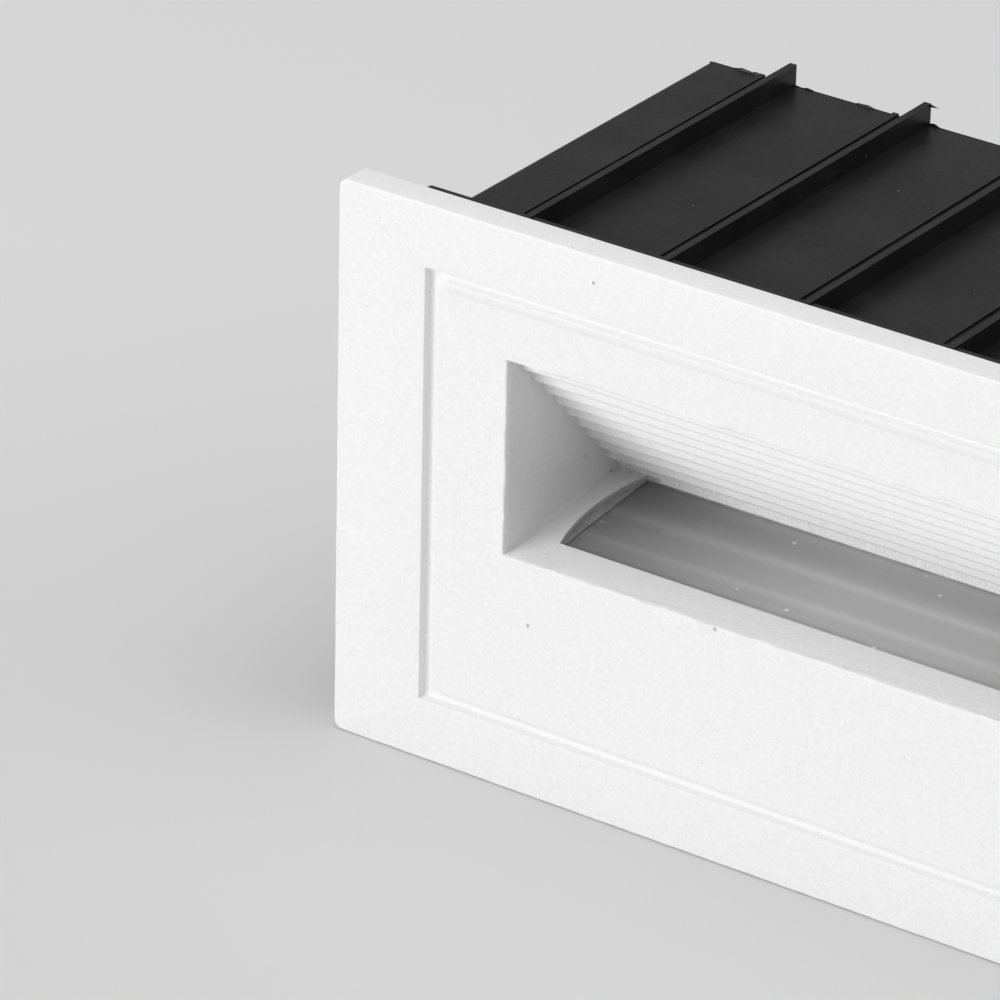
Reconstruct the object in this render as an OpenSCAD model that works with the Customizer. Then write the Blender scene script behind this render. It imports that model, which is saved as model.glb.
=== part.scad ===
// Recessed step light: a white cast face with a stepped recess, its sealed
// lamp body behind, and the ribbed box that is built into the wall.
// X runs along the face, Y runs into the wall, Z is up.
// The origin is the centre of the wall opening, on the plane of the plate's back.

/* [Face plate] */
// Length of the face plate
plate_l = 216; // [200:1:250]
// Height of the face plate
plate_h = 110; // [106:1:124]
// Thickness of the face plate at its frame
plate_t = 6.1; // [5.4:0.1:8]
// Radius of the plate's four corners
plate_corner_r = 2; // [1:0.1:6]
// Width of the flat frame at the two ends
frame_side_w = 19; // [16:0.5:22]
// Width of the flat frame along the top and the bottom
frame_rail_w = 12.2; // [11:0.2:14]
// Drop from the frame to the inner panel
panel_drop = 1; // [0.6:0.1:1.6]
// Drop from the frame to the bottom of the groove
groove_drop = 1.7; // [1.2:0.1:2.4]
// Width of the groove between the frame and the panel
groove_w = 1.9; // [1.2:0.1:2.6]
// Radius of the panel's corners
panel_corner_r = 3; // [1.5:0.1:5]

/* [Recess] */
// Distance from the end of the plate to the end of the mouth
mouth_side_w = 36.2; // [35:0.2:40]
// Distance from the top of the plate to the top of the mouth
mouth_top_w = 25.6; // [24.5:0.1:29]
// Distance from the bottom of the plate to the mouth's sill
mouth_bottom_w = 46.1; // [45.5:0.1:49]
// Distance from the last riser to the inside of the housing's back
recess_back_w = 19.3; // [18:0.1:21]
// Depth of the flat lintel in front of the first riser
first_tread = 5.4; // [4:0.1:7]
// Number of risers in the stepped ceiling
step_count = 10; // [7:1:12]
// Fall of the sill towards the front, in degrees
sill_angle = 5.5; // [3:0.5:7]
// Thickness of the recess's end walls
recess_wall = 2.5; // [2:0.1:3]
// Thickness of metal behind the stepped ceiling, along Y
stair_wall = 3.5; // [2.5:0.1:4.5]

/* [Window and glass] */
// Distance along the sill from the panel to the window
window_front = 8.6; // [7:0.1:11]
// Distance from the mouth's end wall to the window's bowed end
window_end_gap = 4.1; // [3.5:0.1:6]
// Rise of the arc that ends the window
window_bow = 2.2; // [1:0.1:3]
// Thickness of the sill's lip round the window
lip_t = 1; // [0.8:0.1:1.6]
// Thickness of the glass seal
glass_seal_t = 0.4; // [0.3:0.1:0.8]
// Thickness of the glass pane
glass_t = 4; // [3:0.5:5]
// Bearing of the glass beyond the window
glass_lap = 1.8; // [1.4:0.1:2.2]
// Width of the seal that shows at the window's ends
seal_show = 2.1; // [1.5:0.1:4]
// Thickness of the retaining frame under the glass
retainer_t = 1; // [0.8:0.1:1.5]

/* [Light engine] */
// Height of the reflector
reflector_h = 16; // [12:0.5:18]
// Distance from the end of the window to the end of the reflector
reflector_side_w = 9.2; // [8.8:0.2:14]
// Thickness of the reflector's sheet
reflector_t = 0.8; // [0.6:0.1:1.2]
// Width of the circuit board
board_w = 16; // [14:0.5:18]
// Thickness of the circuit board
board_t = 1.6; // [1:0.2:2]
// Number of light-emitting chips
chip_count = 12; // [6:1:16]
// Thickness of the thermal pad
pad_t = 0.5; // [0.3:0.1:1]
// Thickness of the bracket's sheet
bracket_t = 2; // [1.5:0.1:2.5]
// Width of the bracket
bracket_w = 22; // [20:0.5:24]
// Length of the driver
driver_l = 70; // [50:1:80]
// Distance from the roof of the recess up to the driver
driver_low_gap = 5.6; // [4:0.2:12]
// Thickness of the driver
driver_t = 21; // [14:0.5:22]
// Outside radius of an insulated lead
lead_r = 0.9; // [0.7:0.1:1]

/* [Rear housing] */
// Distance from the end of the plate to the end of the housing
housing_side_w = 29; // [28:0.2:30]
// Distance from the top of the plate to the top of the housing
housing_rail_w = 11.5; // [11:0.1:13]
// Depth of the housing's back behind the plate
housing_depth = 53; // [52:0.5:58]
// Thickness of the housing's walls
housing_wall = 2; // [1.6:0.1:2.4]
// Thickness of the housing's back
housing_back_t = 2.5; // [2:0.1:3]
// Radius of the housing's long corners
housing_corner_r = 4; // [3:0.5:6]
// Thickness of the seal between the housing and the casting
housing_seal_t = 0.8; // [0.6:0.1:1]
// Distance from the top of the housing to its upper screws
ear_rail_w = 10.5; // [8:0.5:14]
// Radius of the cable gland's thread
gland_r = 8; // [7:0.5:10]
// Width across the flats of the gland's hexagons
gland_flats = 22; // [20:0.5:25]

/* [Spring clips] */
// Distance of the clip's pin behind the plate
clip_pin_y = 13; // [12:0.5:16]
// Radius of the clip's pin
clip_pin_r = 1.5; // [1.2:0.1:1.8]
// Length of the clip's blade from the pin to its tip
clip_blade_l = 30; // [24:0.5:32]
// Thickness of the blade
clip_blade_t = 0.8; // [0.6:0.1:1]
// Width of the blade
clip_blade_w = 12; // [10:0.5:14]

/* [Wall box] */
// Distance from the end of the plate to the end of the box's flange
flange_side_w = 12.9; // [10:0.1:13.5]
// Distance from the top of the plate to the top of the box's flange
flange_rail_w = 0.7; // [0.5:0.1:2]
// Reach of the flange beyond the box's walls
flange_reach = 3.9; // [3.4:0.1:4.4]
// Thickness of the flange
flange_t = 1.6; // [1.2:0.1:2.4]
// Depth of the box's back behind the plate
box_depth = 86.1; // [84:0.1:100]
// Thickness of the box's walls
box_wall = 2; // [1.6:0.1:2.2]
// Height of the outer ribs
rib_h = 4.2; // [3:0.1:4.3]
// Thickness of the outer ribs
rib_t = 1.4; // [1:0.1:2]
// Number of ribs along the top, and along the bottom
rib_count = 6; // [4:1:8]
// Distance from the end of the plate to the first rib
rib_end_w = 35.4; // [32:0.2:40]
// Inside radius of the conduit entries
entry_r = 10.25; // [8:0.25:12]
// Length of the conduit spouts outside the box
spout_l = 5; // [4:0.5:6]
// Radius of the holes that fix the box's back
fixing_r = 2.25; // [1.75:0.25:3]
// Distance from the end of the box to its back holes
fixing_side_w = 21.2; // [16:0.2:30]
// Distance from the top of the box to its upper back holes
fixing_rail_w = 20.4; // [12:0.1:26]
// Width of the low bead beside each rib
bead_w = 1.2; // [0.8:0.1:2]
// Height of the low bead
bead_h = 0.4; // [0.2:0.1:0.8]
// Distance of the bead's middle from the middle of its rib
bead_off = 6.6; // [4:0.1:9]
// Thickness of the foam gasket between the plate and the flange
face_gasket_t = 0.8; // [0.5:0.1:1]

/* [Hidden] */
$fn = 48;

// Overrun of every cut beyond the metal that it leaves
over = 1;
// Clearance between pieces that move past each other
move_gap = 0.3;
// Radial clearance of the clip's eye on its pin
pin_gap = 0.05;

// Face plate and panel
plate_half_l = plate_l / 2;
plate_half_h = plate_h / 2;
frame_in_half_l = plate_half_l - frame_side_w;
frame_in_half_h = plate_half_h - frame_rail_w;
panel_half_l = frame_in_half_l - groove_w;
panel_half_h = frame_in_half_h - groove_w;
panel_y = panel_drop - plate_t;
// Depth of the pocket that lightens the back of the plate
relief_depth = 2;
// Height of metal left between the pocket and the recess
relief_rim = 3;

// Housing, from the plate
housing_half_l = plate_half_l - housing_side_w;
housing_half_h = plate_half_h - housing_rail_w;
housing_inner_y = housing_depth - housing_back_t;
ear_z = housing_half_h - ear_rail_w;

// Recess
mouth_half_l = plate_half_l - mouth_side_w;
sill_z = mouth_bottom_w - plate_half_h;
lintel_z = plate_half_h - mouth_top_w;
first_riser_y = first_tread - plate_t;
last_riser_y = housing_inner_y - recess_back_w;
step_run = (last_riser_y - first_riser_y) / (step_count - 1);
sill_climb = (last_riser_y - panel_y) * tan(sill_angle);
step_rise = (lintel_z - sill_z - sill_climb + lip_t) / step_count;
recess_out_half = mouth_half_l + recess_wall;

// Sill frame: s runs back along the sill, n stands square to it
window_back = (last_riser_y - panel_y) / cos(sill_angle);
window_half = mouth_half_l - window_end_gap;
window_mid = (window_front + window_back) / 2;
window_half_w = (window_back - window_front) / 2;
bow_r = (pow(window_half_w, 2) + pow(window_bow, 2)) / (2 * window_bow);
pocket_half = window_half + glass_lap;
pocket_front = window_front - glass_lap;
pocket_back = window_back + glass_lap;
// Clearance round the glass in its pocket
glass_gap = 0.15;
sill_t = lip_t + glass_seal_t + glass_t;
// Metal behind the glass pocket
pocket_wall = 3;
recess_back_y = panel_y + pocket_back + pocket_wall;
seal_in_half = window_half - seal_show;

// Retaining frame and bracket, under the glass
reflector_half = window_half - reflector_side_w;
retainer_n = -sill_t - retainer_t;
retainer_in = 0.8;
retainer_front = pocket_front - retainer_in;
retainer_back = pocket_back + retainer_in;
foot_n = retainer_n - bracket_t;
board_top_n = retainer_n - reflector_h;
board_n = board_top_n - board_t;
pad_n = board_n - pad_t;
bracket_n = pad_n - bracket_t;
leg_out = pocket_half - 3 * retainer_t;
leg_in = leg_out - bracket_t;
// Gap between the end of the board and the bracket's leg
board_end_gap = 1;
board_half = leg_in - board_end_gap;
screw_x = (pocket_half + recess_out_half) / 2;
// Screws of the light engine
small_screw_r = 1.25;
small_head_r = 2.2;
small_head_h = 1.6;
retainer_screw_s = bracket_w / 3;
retainer_screw_grip = 4;
board_head_r = 2;
board_head_h = 1.2;
board_screw_gap = 0.7;
board_screw_x = reflector_half - reflector_t - board_screw_gap - board_head_r;
chip_l = 3.5;
chip_w = 2.8;
chip_t = 0.8;
chip_row = 2 * (board_screw_x - 2 * board_head_r - chip_w / 2);
chip_pitch = chip_row / (chip_count - 1);
connector_l = 4;
connector_w = 7.5;
connector_h = 4;
reflector_foot_half = 7;
reflector_lip_gap = 1;

// Leads
lead_gap = 2.2;
// Parts of a millimetre that places on a lead are rounded to
grid_parts = 100;
lead_bend = 5;
lead_sink = 1;
lead_y = on_grid(recess_back_y + lead_bend + lead_gap);
lead_n = board_top_n + connector_h / 2;
connector_x = reflector_half + reflector_t + connector_l / 2;
connector_s = window_mid + connector_w / 2;
lead_z_low = on_grid(panel_sill_z(connector_s + connector_w / 2, lead_n));
lead_y_end = on_grid(panel_sill_y(connector_s + connector_w / 2, lead_n));
lead_x = on_grid(connector_x - lead_gap / 2);

// Driver and housing
driver_pad_t = 1;
driver_gap = 2.5;
driver_top_z = housing_half_h - housing_wall - driver_gap;
driver_low_z = roof_at(housing_inner_y - driver_pad_t - driver_t) + driver_low_gap;
driver_h = driver_top_z - driver_low_z;
driver_z = driver_top_z - driver_h / 2;
lead_z_high = on_grid(driver_z - lead_gap);
seal_ring_w = 3.5;
ear_reach = 7.4;
ear_t = 5;
ear_w = 11;
ear_x = housing_half_l + ear_reach / 2;
housing_screw_r = 2;
housing_head_r = 3.4;
housing_head_h = 2.4;
housing_screw_bite = 3.8;

// Gland and earth screw on the housing's back
gland_x = -housing_half_l * 2 / 3;
gland_z = -housing_half_h / 2;
gland_washer_t = 1.5;
// Depth of the space for the supply's wires, which the gland's lengths are shares of
wire_room = box_depth - box_wall - housing_depth;
gland_collar_t = wire_room * 4 / 25;
gland_neck_l = wire_room * 8 / 25;
gland_neck_r = gland_r - gland_washer_t / 3;
gland_bore_r = 5;
gland_locknut_t = 4;
gland_nut_l = wire_room * 21 / 50;
gland_nut_gap = 1.2;
gland_mouth_r = 4;
gland_bush_bore_r = 3.2;
gland_bush_l = wire_room / 4;
hex_sides = 6;
earth_x = gland_x - gland_flats * 2 / 3;
earth_z = gland_z + gland_flats * 1.4;
earth_r = 2;
earth_head_r = 3.5;
earth_head_h = 2.6;
earth_washer_r = 5;
earth_washer_t = 1;
earth_bite = 2;

// Box
flange_half_l = plate_half_l - flange_side_w;
flange_half_h = plate_half_h - flange_rail_w;
box_half_l = flange_half_l - flange_reach;
box_half_h = flange_half_h - flange_reach;
box_in_half_l = box_half_l - box_wall;
box_in_half_h = box_half_h - box_wall;
flange_y = face_gasket_t;
flange_back_y = flange_y + flange_t;
box_corner_r = 1.5;
rib_span = plate_l - 2 * rib_end_w;
rib_pitch = rib_span / (rib_count - 1);
end_rib_z = box_half_h / 2;
entry_y = (housing_depth + box_depth) / 2 - flange_t;
spout_wall = 2;
guide_h = box_in_half_h - housing_half_h - move_gap;
guide_t = 1.6;
guide_x = box_in_half_l / 3;
guide_start = 4 * flange_t;
groove_ring_w = 0.8;
groove_ring_depth = 1.2;
fixing_x = box_half_l - fixing_side_w;
fixing_z = box_half_h - fixing_rail_w;
knock_x = fixing_x * 2 / 5;
knock_r = entry_r;
grip_count = 8;
grip_pitch = 1.6;
grip_depth = 0.5;
grip_w = 0.8;
grip_h = clip_blade_w * 1.5;
gasket_w = 3.8;
gasket_in = 1;

// Plug in the left conduit entry
plug_gap = 0.02;
plug_cap_t = 2;
plug_cap_reach = 1.5;
plug_bore_wall = 1.8;

// Spring clips, drawn for the right end and mirrored for the left
clip_sheet = 1.2;
clip_base_half = 9;
clip_ear_half = 9;
// Reach of the bracket's base in front of the pin and behind it
clip_front_l = 5;
clip_back_l = 13;
clip_base_front = clip_pin_y - clip_front_l;
clip_base_back = clip_pin_y + clip_back_l;
clip_ear_l = 8;
eye_r = clip_pin_r + pin_gap + clip_blade_t;
clip_pin_x = housing_half_l + clip_sheet + eye_r + move_gap * 3;
clip_ear_out = clip_pin_x + 2 * clip_pin_r - housing_half_l;
clip_tip_r = 1.4;
clip_tip_x = box_in_half_l - 4 * move_gap - clip_tip_r;
// Depth that the blade sits in from the eye's outer surface
blade_sink = 0.15;
clip_blade_x = clip_pin_x + eye_r - blade_sink - clip_blade_t / 2;
clip_run = clip_blade_l - clip_tip_r;
clip_lean = asin((clip_tip_x + clip_tip_r - clip_blade_t - clip_blade_x) / clip_run);
eye_w = clip_blade_w / 3;
// Each eye's outer end is a little inside the blade's edge
eye_set_in = 0.1;
eye_h = eye_w - eye_set_in;
spring_wire_r = 0.4;
spring_in_r = clip_pin_r + move_gap;
spring_mid_r = spring_in_r + spring_wire_r;
spring_out_r = spring_mid_r + spring_wire_r;
spring_half = clip_blade_w / 2 - eye_w - spring_wire_r;
spring_leg_l = clip_blade_l / 3;
spring_drop = clip_pin_x - spring_out_r - housing_half_l - clip_sheet;
spring_lean = asin(spring_drop / spring_leg_l);
rivet_r = 1.6;
rivet_head_r = 2.6;
rivet_head_h = 0.9;
// Distance of the rivets behind the pin
rivet_back_l = 9;
rivet_y = clip_pin_y + rivet_back_l;
rivet_z = 5;

// A place on a lead, rounded so that the lead's straight runs and bends meet face to face
function on_grid(v) = round(v * grid_parts) / grid_parts;
// Height of the sill's surface at a depth y
function sill_at(y) = sill_z + (y - panel_y) * tan(sill_angle);
// Y of a point given in the sill frame
function panel_sill_y(s, n) = panel_y + s * cos(sill_angle) - n * sin(sill_angle);
// Z of a point given in the sill frame
function panel_sill_z(s, n) = sill_z + s * sin(sill_angle) + n * cos(sill_angle);
// Y of riser i, counted from 1 at the front
function riser_y(i) = first_riser_y + (i - 1) * step_run;
// Z of the recess's roof, behind the steps, at a depth y
function roof_at(y) = lintel_z - step_rise / step_run * (y - first_riser_y - stair_wall);
// Z of the tread in front of riser i
function tread_z(i) = lintel_z - (i - 1) * step_rise;

// Rectangle about the origin with exact round corners
module rounded(half_l, half_h, r) {
    square([2 * half_l, 2 * (half_h - r)], center = true);
    square([2 * (half_l - r), 2 * half_h], center = true);
    for (sx = [-1, 1], sy = [-1, 1])
        translate([sx * (half_l - r), sy * (half_h - r)])
            circle(r = r);
}

// Upright slab in X and Z from depth y0 to y1, from a flat shape
module upright(y0, y1) {
    translate([0, y1, 0])
        rotate([90, 0, 0])
            linear_extrude(height = y1 - y0)
                children();
}

// Bar along X with its section in Y and Z, centred on x = 0
module along_x(l) {
    translate([-l / 2, 0, 0])
        rotate([90, 0, 90])
            linear_extrude(height = l)
                children();
}

// Places children in the sill frame
module on_sill() {
    translate([0, panel_y, sill_z])
        rotate([sill_angle, 0, 0])
            children();
}

// Box between two corners
module block(a, b) {
    translate(a)
        cube(b - a);
}

// Round bar along Y from y0 to y1
module rod_y(r, y0, y1) {
    translate([0, y1, 0])
        rotate([90, 0, 0])
            cylinder(r = r, h = y1 - y0);
}

// Round bar along X from x0 to x1
module rod_x(r, x0, x1) {
    translate([x0, 0, 0])
        rotate([0, 90, 0])
            cylinder(r = r, h = x1 - x0);
}

// Hollow of the recess: sloping sill below, steps above
module recess_hollow() {
    mouth_y = -plate_t - over;
    steps = [for (i = [step_count:-1:2]) each [[riser_y(i), tread_z(i)], [riser_y(i - 1), tread_z(i)]]];
    along_x(2 * mouth_half_l)
        polygon(concat(
            [[mouth_y, sill_at(mouth_y)], [last_riser_y, sill_at(last_riser_y)]],
            steps,
            [[first_riser_y, lintel_z], [mouth_y, lintel_z]]
        ));
}

// Metal round the recess, behind the plate
module recess_shell() {
    slope = step_rise / step_run;
    back_z = sill_at(recess_back_y) - sill_t / cos(sill_angle);
    top_z = lintel_z + slope * stair_wall;
    roof_z = roof_at(recess_back_y);
    front_z = sill_z - sill_t / cos(sill_angle);
    along_x(2 * recess_out_half)
        polygon([
            [panel_y, front_z], [recess_back_y, back_z],
            [recess_back_y, max(roof_z, back_z + sill_t + lip_t)],
            [first_riser_y, top_z], [panel_y, top_z]
        ]);
}

// Outline of the window: a bar whose ends bow outwards
module window_outline() {
    square([2 * (window_half - bow_r), 2 * window_half_w], center = true);
    for (side = [-1, 1])
        intersection() {
            translate([side * (window_half - bow_r), 0])
                circle(r = bow_r);
            translate([side * window_half / 2, 0])
                square([window_half + over, 2 * window_half_w], center = true);
        }
}

module face_casting() {
    color("white")
        difference() {
            union() {
                difference() {
                    upright(-plate_t, 0)
                        rounded(plate_half_l, plate_half_h, plate_corner_r);
                    upright(-plate_t - over, groove_drop - plate_t)
                        square([2 * frame_in_half_l, 2 * frame_in_half_h], center = true);
                }
                upright(panel_y, 0)
                    rounded(panel_half_l, panel_half_h, panel_corner_r);
                recess_shell();
            }
            recess_hollow();
            on_sill() {
                translate([0, window_mid, -sill_t - over])
                    linear_extrude(height = sill_t + 2 * over)
                        window_outline();
                block([-pocket_half, pocket_front, -sill_t - over], [pocket_half, pocket_back, -lip_t]);
                for (side = [-1, 1], end = [-1, 1])
                    translate([side * screw_x, window_mid + end * retainer_screw_s, -sill_t - over])
                        cylinder(r = small_screw_r, h = retainer_screw_grip + over);
            }
            block([-recess_out_half, -relief_depth, seal_ring_w - housing_half_h],
                  [recess_out_half, over, sill_z - sill_t - relief_rim]);
            for (side = [-1, 1], up = [-1, 1])
                translate([side * ear_x, 0, up * ear_z])
                    rod_y(housing_screw_r, -housing_screw_bite, over);
        }
}

module glass_pane() {
    color("lightgray")
        on_sill()
            block([glass_gap - pocket_half, pocket_front + glass_gap, -sill_t],
                  [pocket_half - glass_gap, pocket_back - glass_gap, -sill_t + glass_t]);
}

module glass_seal() {
    color("gray")
        on_sill()
            difference() {
                block([glass_gap - pocket_half, pocket_front + glass_gap, -sill_t + glass_t],
                      [pocket_half - glass_gap, pocket_back - glass_gap, -lip_t]);
                block([-seal_in_half, window_front, -sill_t], [seal_in_half, window_back, over]);
            }
}

// Clearance holes of the four screws that hold the retainer and the bracket
module retainer_holes(low, high) {
    for (side = [-1, 1], end = [-1, 1])
        translate([side * screw_x, window_mid + end * retainer_screw_s, low])
            cylinder(r = small_screw_r, h = high - low);
}

module glass_retainer() {
    color("silver")
        on_sill()
            difference() {
                block([-recess_out_half, retainer_front, retainer_n], [recess_out_half, retainer_back, -sill_t]);
                block([-seal_in_half, window_front + retainer_in, retainer_n - over],
                      [seal_in_half, window_back - retainer_in, over]);
                retainer_holes(retainer_n - over, over);
            }
}

module led_bracket() {
    front = window_mid - bracket_w / 2;
    back = window_mid + bracket_w / 2;
    color("silver")
        on_sill()
            difference() {
                union() {
                    block([-leg_out, front, bracket_n], [leg_out, back, pad_n]);
                    for (side = [-1, 1]) {
                        leg_x = side * (leg_in + leg_out) / 2;
                        foot_x = side * (leg_in + recess_out_half) / 2;
                        translate([leg_x, window_mid, (bracket_n + retainer_n) / 2])
                            cube([bracket_t, bracket_w, retainer_n - bracket_n], center = true);
                        translate([foot_x, window_mid, (foot_n + retainer_n) / 2])
                            cube([recess_out_half - leg_in, bracket_w, bracket_t], center = true);
                    }
                }
                retainer_holes(foot_n - over, over);
                board_holes(bracket_n - over, over);
            }
}

module retainer_screws() {
    color("silver")
        on_sill()
            for (side = [-1, 1], end = [-1, 1])
                translate([side * screw_x, window_mid + end * retainer_screw_s, 0]) {
                    translate([0, 0, foot_n - small_head_h])
                        cylinder(r = small_head_r, h = small_head_h);
                    translate([0, 0, foot_n])
                        cylinder(r = small_screw_r, h = retainer_screw_grip - sill_t - foot_n);
                }
}

module reflector() {
    top_half = window_half_w - reflector_lip_gap;
    outer = [
        [-reflector_foot_half, board_top_n], [reflector_foot_half, board_top_n],
        [top_half, retainer_n], [-top_half, retainer_n]
    ];
    inner = [
        [reflector_t - reflector_foot_half, board_top_n - over],
        [reflector_foot_half - reflector_t, board_top_n - over],
        [top_half - reflector_t, retainer_n + over],
        [reflector_t - top_half, retainer_n + over]
    ];
    color("white")
        on_sill()
            translate([0, window_mid, 0])
                difference() {
                    along_x(2 * reflector_half)
                        polygon(outer);
                    along_x(2 * (reflector_half - reflector_t))
                        polygon(inner);
                }
}

// Holes of the two screws that hold the circuit board
module board_holes(low, high) {
    for (side = [-1, 1])
        translate([side * board_screw_x, window_mid, low])
            cylinder(r = small_screw_r, h = high - low);
}

module led_board() {
    color("white")
        on_sill()
            difference() {
                block([-board_half, window_mid - board_w / 2, board_n],
                      [board_half, window_mid + board_w / 2, board_top_n]);
                board_holes(board_n - over, over);
            }
}

module thermal_pad() {
    color("dimgray")
        on_sill()
            difference() {
                block([-board_half, window_mid - board_w / 2, pad_n],
                      [board_half, window_mid + board_w / 2, board_n]);
                board_holes(pad_n - over, over);
            }
}

module led_chips() {
    color("gold")
        on_sill()
            for (i = [0:chip_count - 1])
                translate([(i - (chip_count - 1) / 2) * chip_pitch, window_mid, board_top_n + chip_t / 2])
                    cube([chip_w, chip_l, chip_t], center = true);
}

module board_screws() {
    color("silver")
        on_sill()
            for (side = [-1, 1])
                translate([side * board_screw_x, window_mid, 0]) {
                    translate([0, 0, board_top_n])
                        cylinder(r = board_head_r, h = board_head_h);
                    translate([0, 0, bracket_n])
                        cylinder(r = small_screw_r, h = board_top_n - bracket_n);
                }
}

module led_connector() {
    color("ivory")
        difference() {
            on_sill()
                translate([connector_x, connector_s, board_top_n + connector_h / 2])
                    cube([connector_l, connector_w, connector_h], center = true);
            for (side = [-1, 1])
                translate([connector_x + side * lead_gap / 2, 0, lead_z_low])
                    rod_y(lead_r, lead_y_end - lead_sink, lead_y);
        }
}

// Quarter bend of a lead, centred on the origin, from +X to +Y in its plane
module lead_quarter() {
    rotate_extrude(angle = 90)
        translate([lead_bend, 0])
            circle(r = lead_r);
}

// Lead from the driver's end, down behind the recess and forward to the board
module lead(x, z) {
    translate([0, lead_y, z])
        rod_x(lead_r, driver_l / 2, x - lead_bend);
    translate([x - lead_bend, lead_y, z - lead_bend])
        rotate([90, 0, 0])
            lead_quarter();
    translate([x, lead_y, lead_z_low + lead_bend])
        cylinder(r = lead_r, h = z - lead_z_low - 2 * lead_bend);
    translate([x, lead_y - lead_bend, lead_z_low + lead_bend])
        rotate([0, 90, 0])
            lead_quarter();
    translate([x, 0, lead_z_low])
        rod_y(lead_r, lead_y_end - lead_sink, lead_y - lead_bend);
}

module led_lead_red() {
    color("red")
        lead(lead_x, lead_z_high);
}

module led_lead_black() {
    color("black")
        lead(lead_x + lead_gap, lead_z_high + lead_gap);
}

module driver_case() {
    y1 = housing_inner_y - driver_pad_t;
    color("whitesmoke")
        upright(y1 - driver_t, y1)
            translate([0, driver_z])
                rounded(driver_l / 2, driver_h / 2, driver_pad_t);
}

module driver_pad() {
    color("dimgray")
        upright(housing_inner_y - driver_pad_t, housing_inner_y)
            translate([0, driver_z])
                square([driver_l - driver_t, driver_h / 2], center = true);
}

module rear_housing() {
    color("gainsboro")
        difference() {
            union() {
                upright(housing_seal_t, housing_depth)
                    rounded(housing_half_l, housing_half_h, housing_corner_r);
                for (side = [-1, 1], up = [-1, 1])
                    translate([side * (ear_x - ear_w / 4), housing_seal_t + ear_t / 2, up * ear_z])
                        cube([ear_reach + ear_w / 2, ear_t, ear_w], center = true);
            }
            upright(housing_seal_t - over, housing_inner_y)
                rounded(housing_half_l - housing_wall, housing_half_h - housing_wall, housing_corner_r - housing_wall);
            for (side = [-1, 1], up = [-1, 1])
                translate([side * ear_x, 0, up * ear_z])
                    rod_y(housing_screw_r, 0, housing_depth);
            translate([gland_x, 0, gland_z])
                rod_y(gland_r, housing_inner_y - over, housing_depth + over);
            translate([earth_x, 0, earth_z])
                rod_y(earth_r, housing_depth - earth_bite, housing_depth + over);
            for (side = [-1, 1], up = [-1, 1])
                at_end(side)
                    translate([0, rivet_y, up * rivet_z])
                        rod_x(rivet_r, housing_half_l - housing_wall - over, housing_half_l + over);
        }
}

module housing_seal() {
    color("dimgray")
        difference() {
            upright(0, housing_seal_t)
                rounded(housing_half_l, housing_half_h, housing_corner_r);
            upright(-over, housing_seal_t + over)
                rounded(housing_half_l - seal_ring_w, housing_half_h - seal_ring_w, housing_corner_r / 2);
        }
}

module housing_screws() {
    head_y = housing_seal_t + ear_t;
    color("silver")
        for (side = [-1, 1], up = [-1, 1])
            translate([side * ear_x, 0, up * ear_z]) {
                rod_y(housing_screw_r, -housing_screw_bite, head_y);
                rod_y(housing_head_r, head_y, head_y + housing_head_h);
            }
}

// Hexagonal bar along Y with the given width across its flats
module hex_y(flats, y0, y1) {
    translate([0, y1, 0])
        rotate([90, 0, 0])
            cylinder(r = flats / 2 / cos(180 / hex_sides), h = y1 - y0, $fn = hex_sides);
}

module gland_body() {
    collar_y = housing_depth + gland_washer_t;
    neck_y = collar_y + gland_collar_t;
    color("black")
        translate([gland_x, 0, gland_z])
            difference() {
                union() {
                    rod_y(gland_r, housing_inner_y - gland_locknut_t, collar_y);
                    hex_y(gland_flats, collar_y, neck_y);
                    rod_y(gland_neck_r, neck_y, neck_y + gland_neck_l);
                }
                rod_y(gland_bore_r, 0, neck_y + gland_neck_l + over);
            }
}

module gland_washer() {
    color("dimgray")
        translate([gland_x, 0, gland_z])
            difference() {
                rod_y(gland_flats / 2, housing_depth, housing_depth + gland_washer_t);
                rod_y(gland_r, 0, housing_depth + gland_washer_t + over);
            }
}

module gland_locknut() {
    color("black")
        translate([gland_x, 0, gland_z])
            difference() {
                hex_y(gland_flats, housing_inner_y - gland_locknut_t, housing_inner_y);
                rod_y(gland_r, 0, housing_depth);
            }
}

module gland_nut() {
    start = housing_depth + gland_washer_t + gland_collar_t + gland_nut_gap;
    deep = housing_depth + gland_washer_t + gland_collar_t + gland_neck_l + gland_nut_gap;
    color("black")
        translate([gland_x, 0, gland_z])
            difference() {
                intersection() {
                    hex_y(gland_flats, start, start + gland_nut_l);
                    translate([0, start + gland_nut_l, 0])
                        rotate([90, 0, 0])
                            cylinder(r1 = gland_r, r2 = gland_flats, h = gland_nut_l);
                }
                rod_y(gland_neck_r, 0, deep);
                rod_y(gland_mouth_r, 0, start + gland_nut_l + over);
            }
}

module gland_bush() {
    tip = housing_depth + gland_washer_t + gland_collar_t + gland_neck_l;
    color("dimgray")
        translate([gland_x, 0, gland_z])
            difference() {
                rod_y(gland_bore_r, tip - gland_bush_l, tip);
                rod_y(gland_bush_bore_r, 0, tip + over);
            }
}

module earth_screw() {
    seat = housing_depth + earth_washer_t;
    color("goldenrod")
        translate([earth_x, 0, earth_z]) {
            rod_y(earth_r, housing_depth - earth_bite, seat);
            rod_y(earth_head_r, seat, seat + earth_head_h);
        }
}

module earth_washer() {
    color("silver")
        translate([earth_x, 0, earth_z])
            difference() {
                rod_y(earth_washer_r, housing_depth, housing_depth + earth_washer_t);
                rod_y(earth_r, 0, housing_depth + earth_washer_t + over);
            }
}

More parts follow.
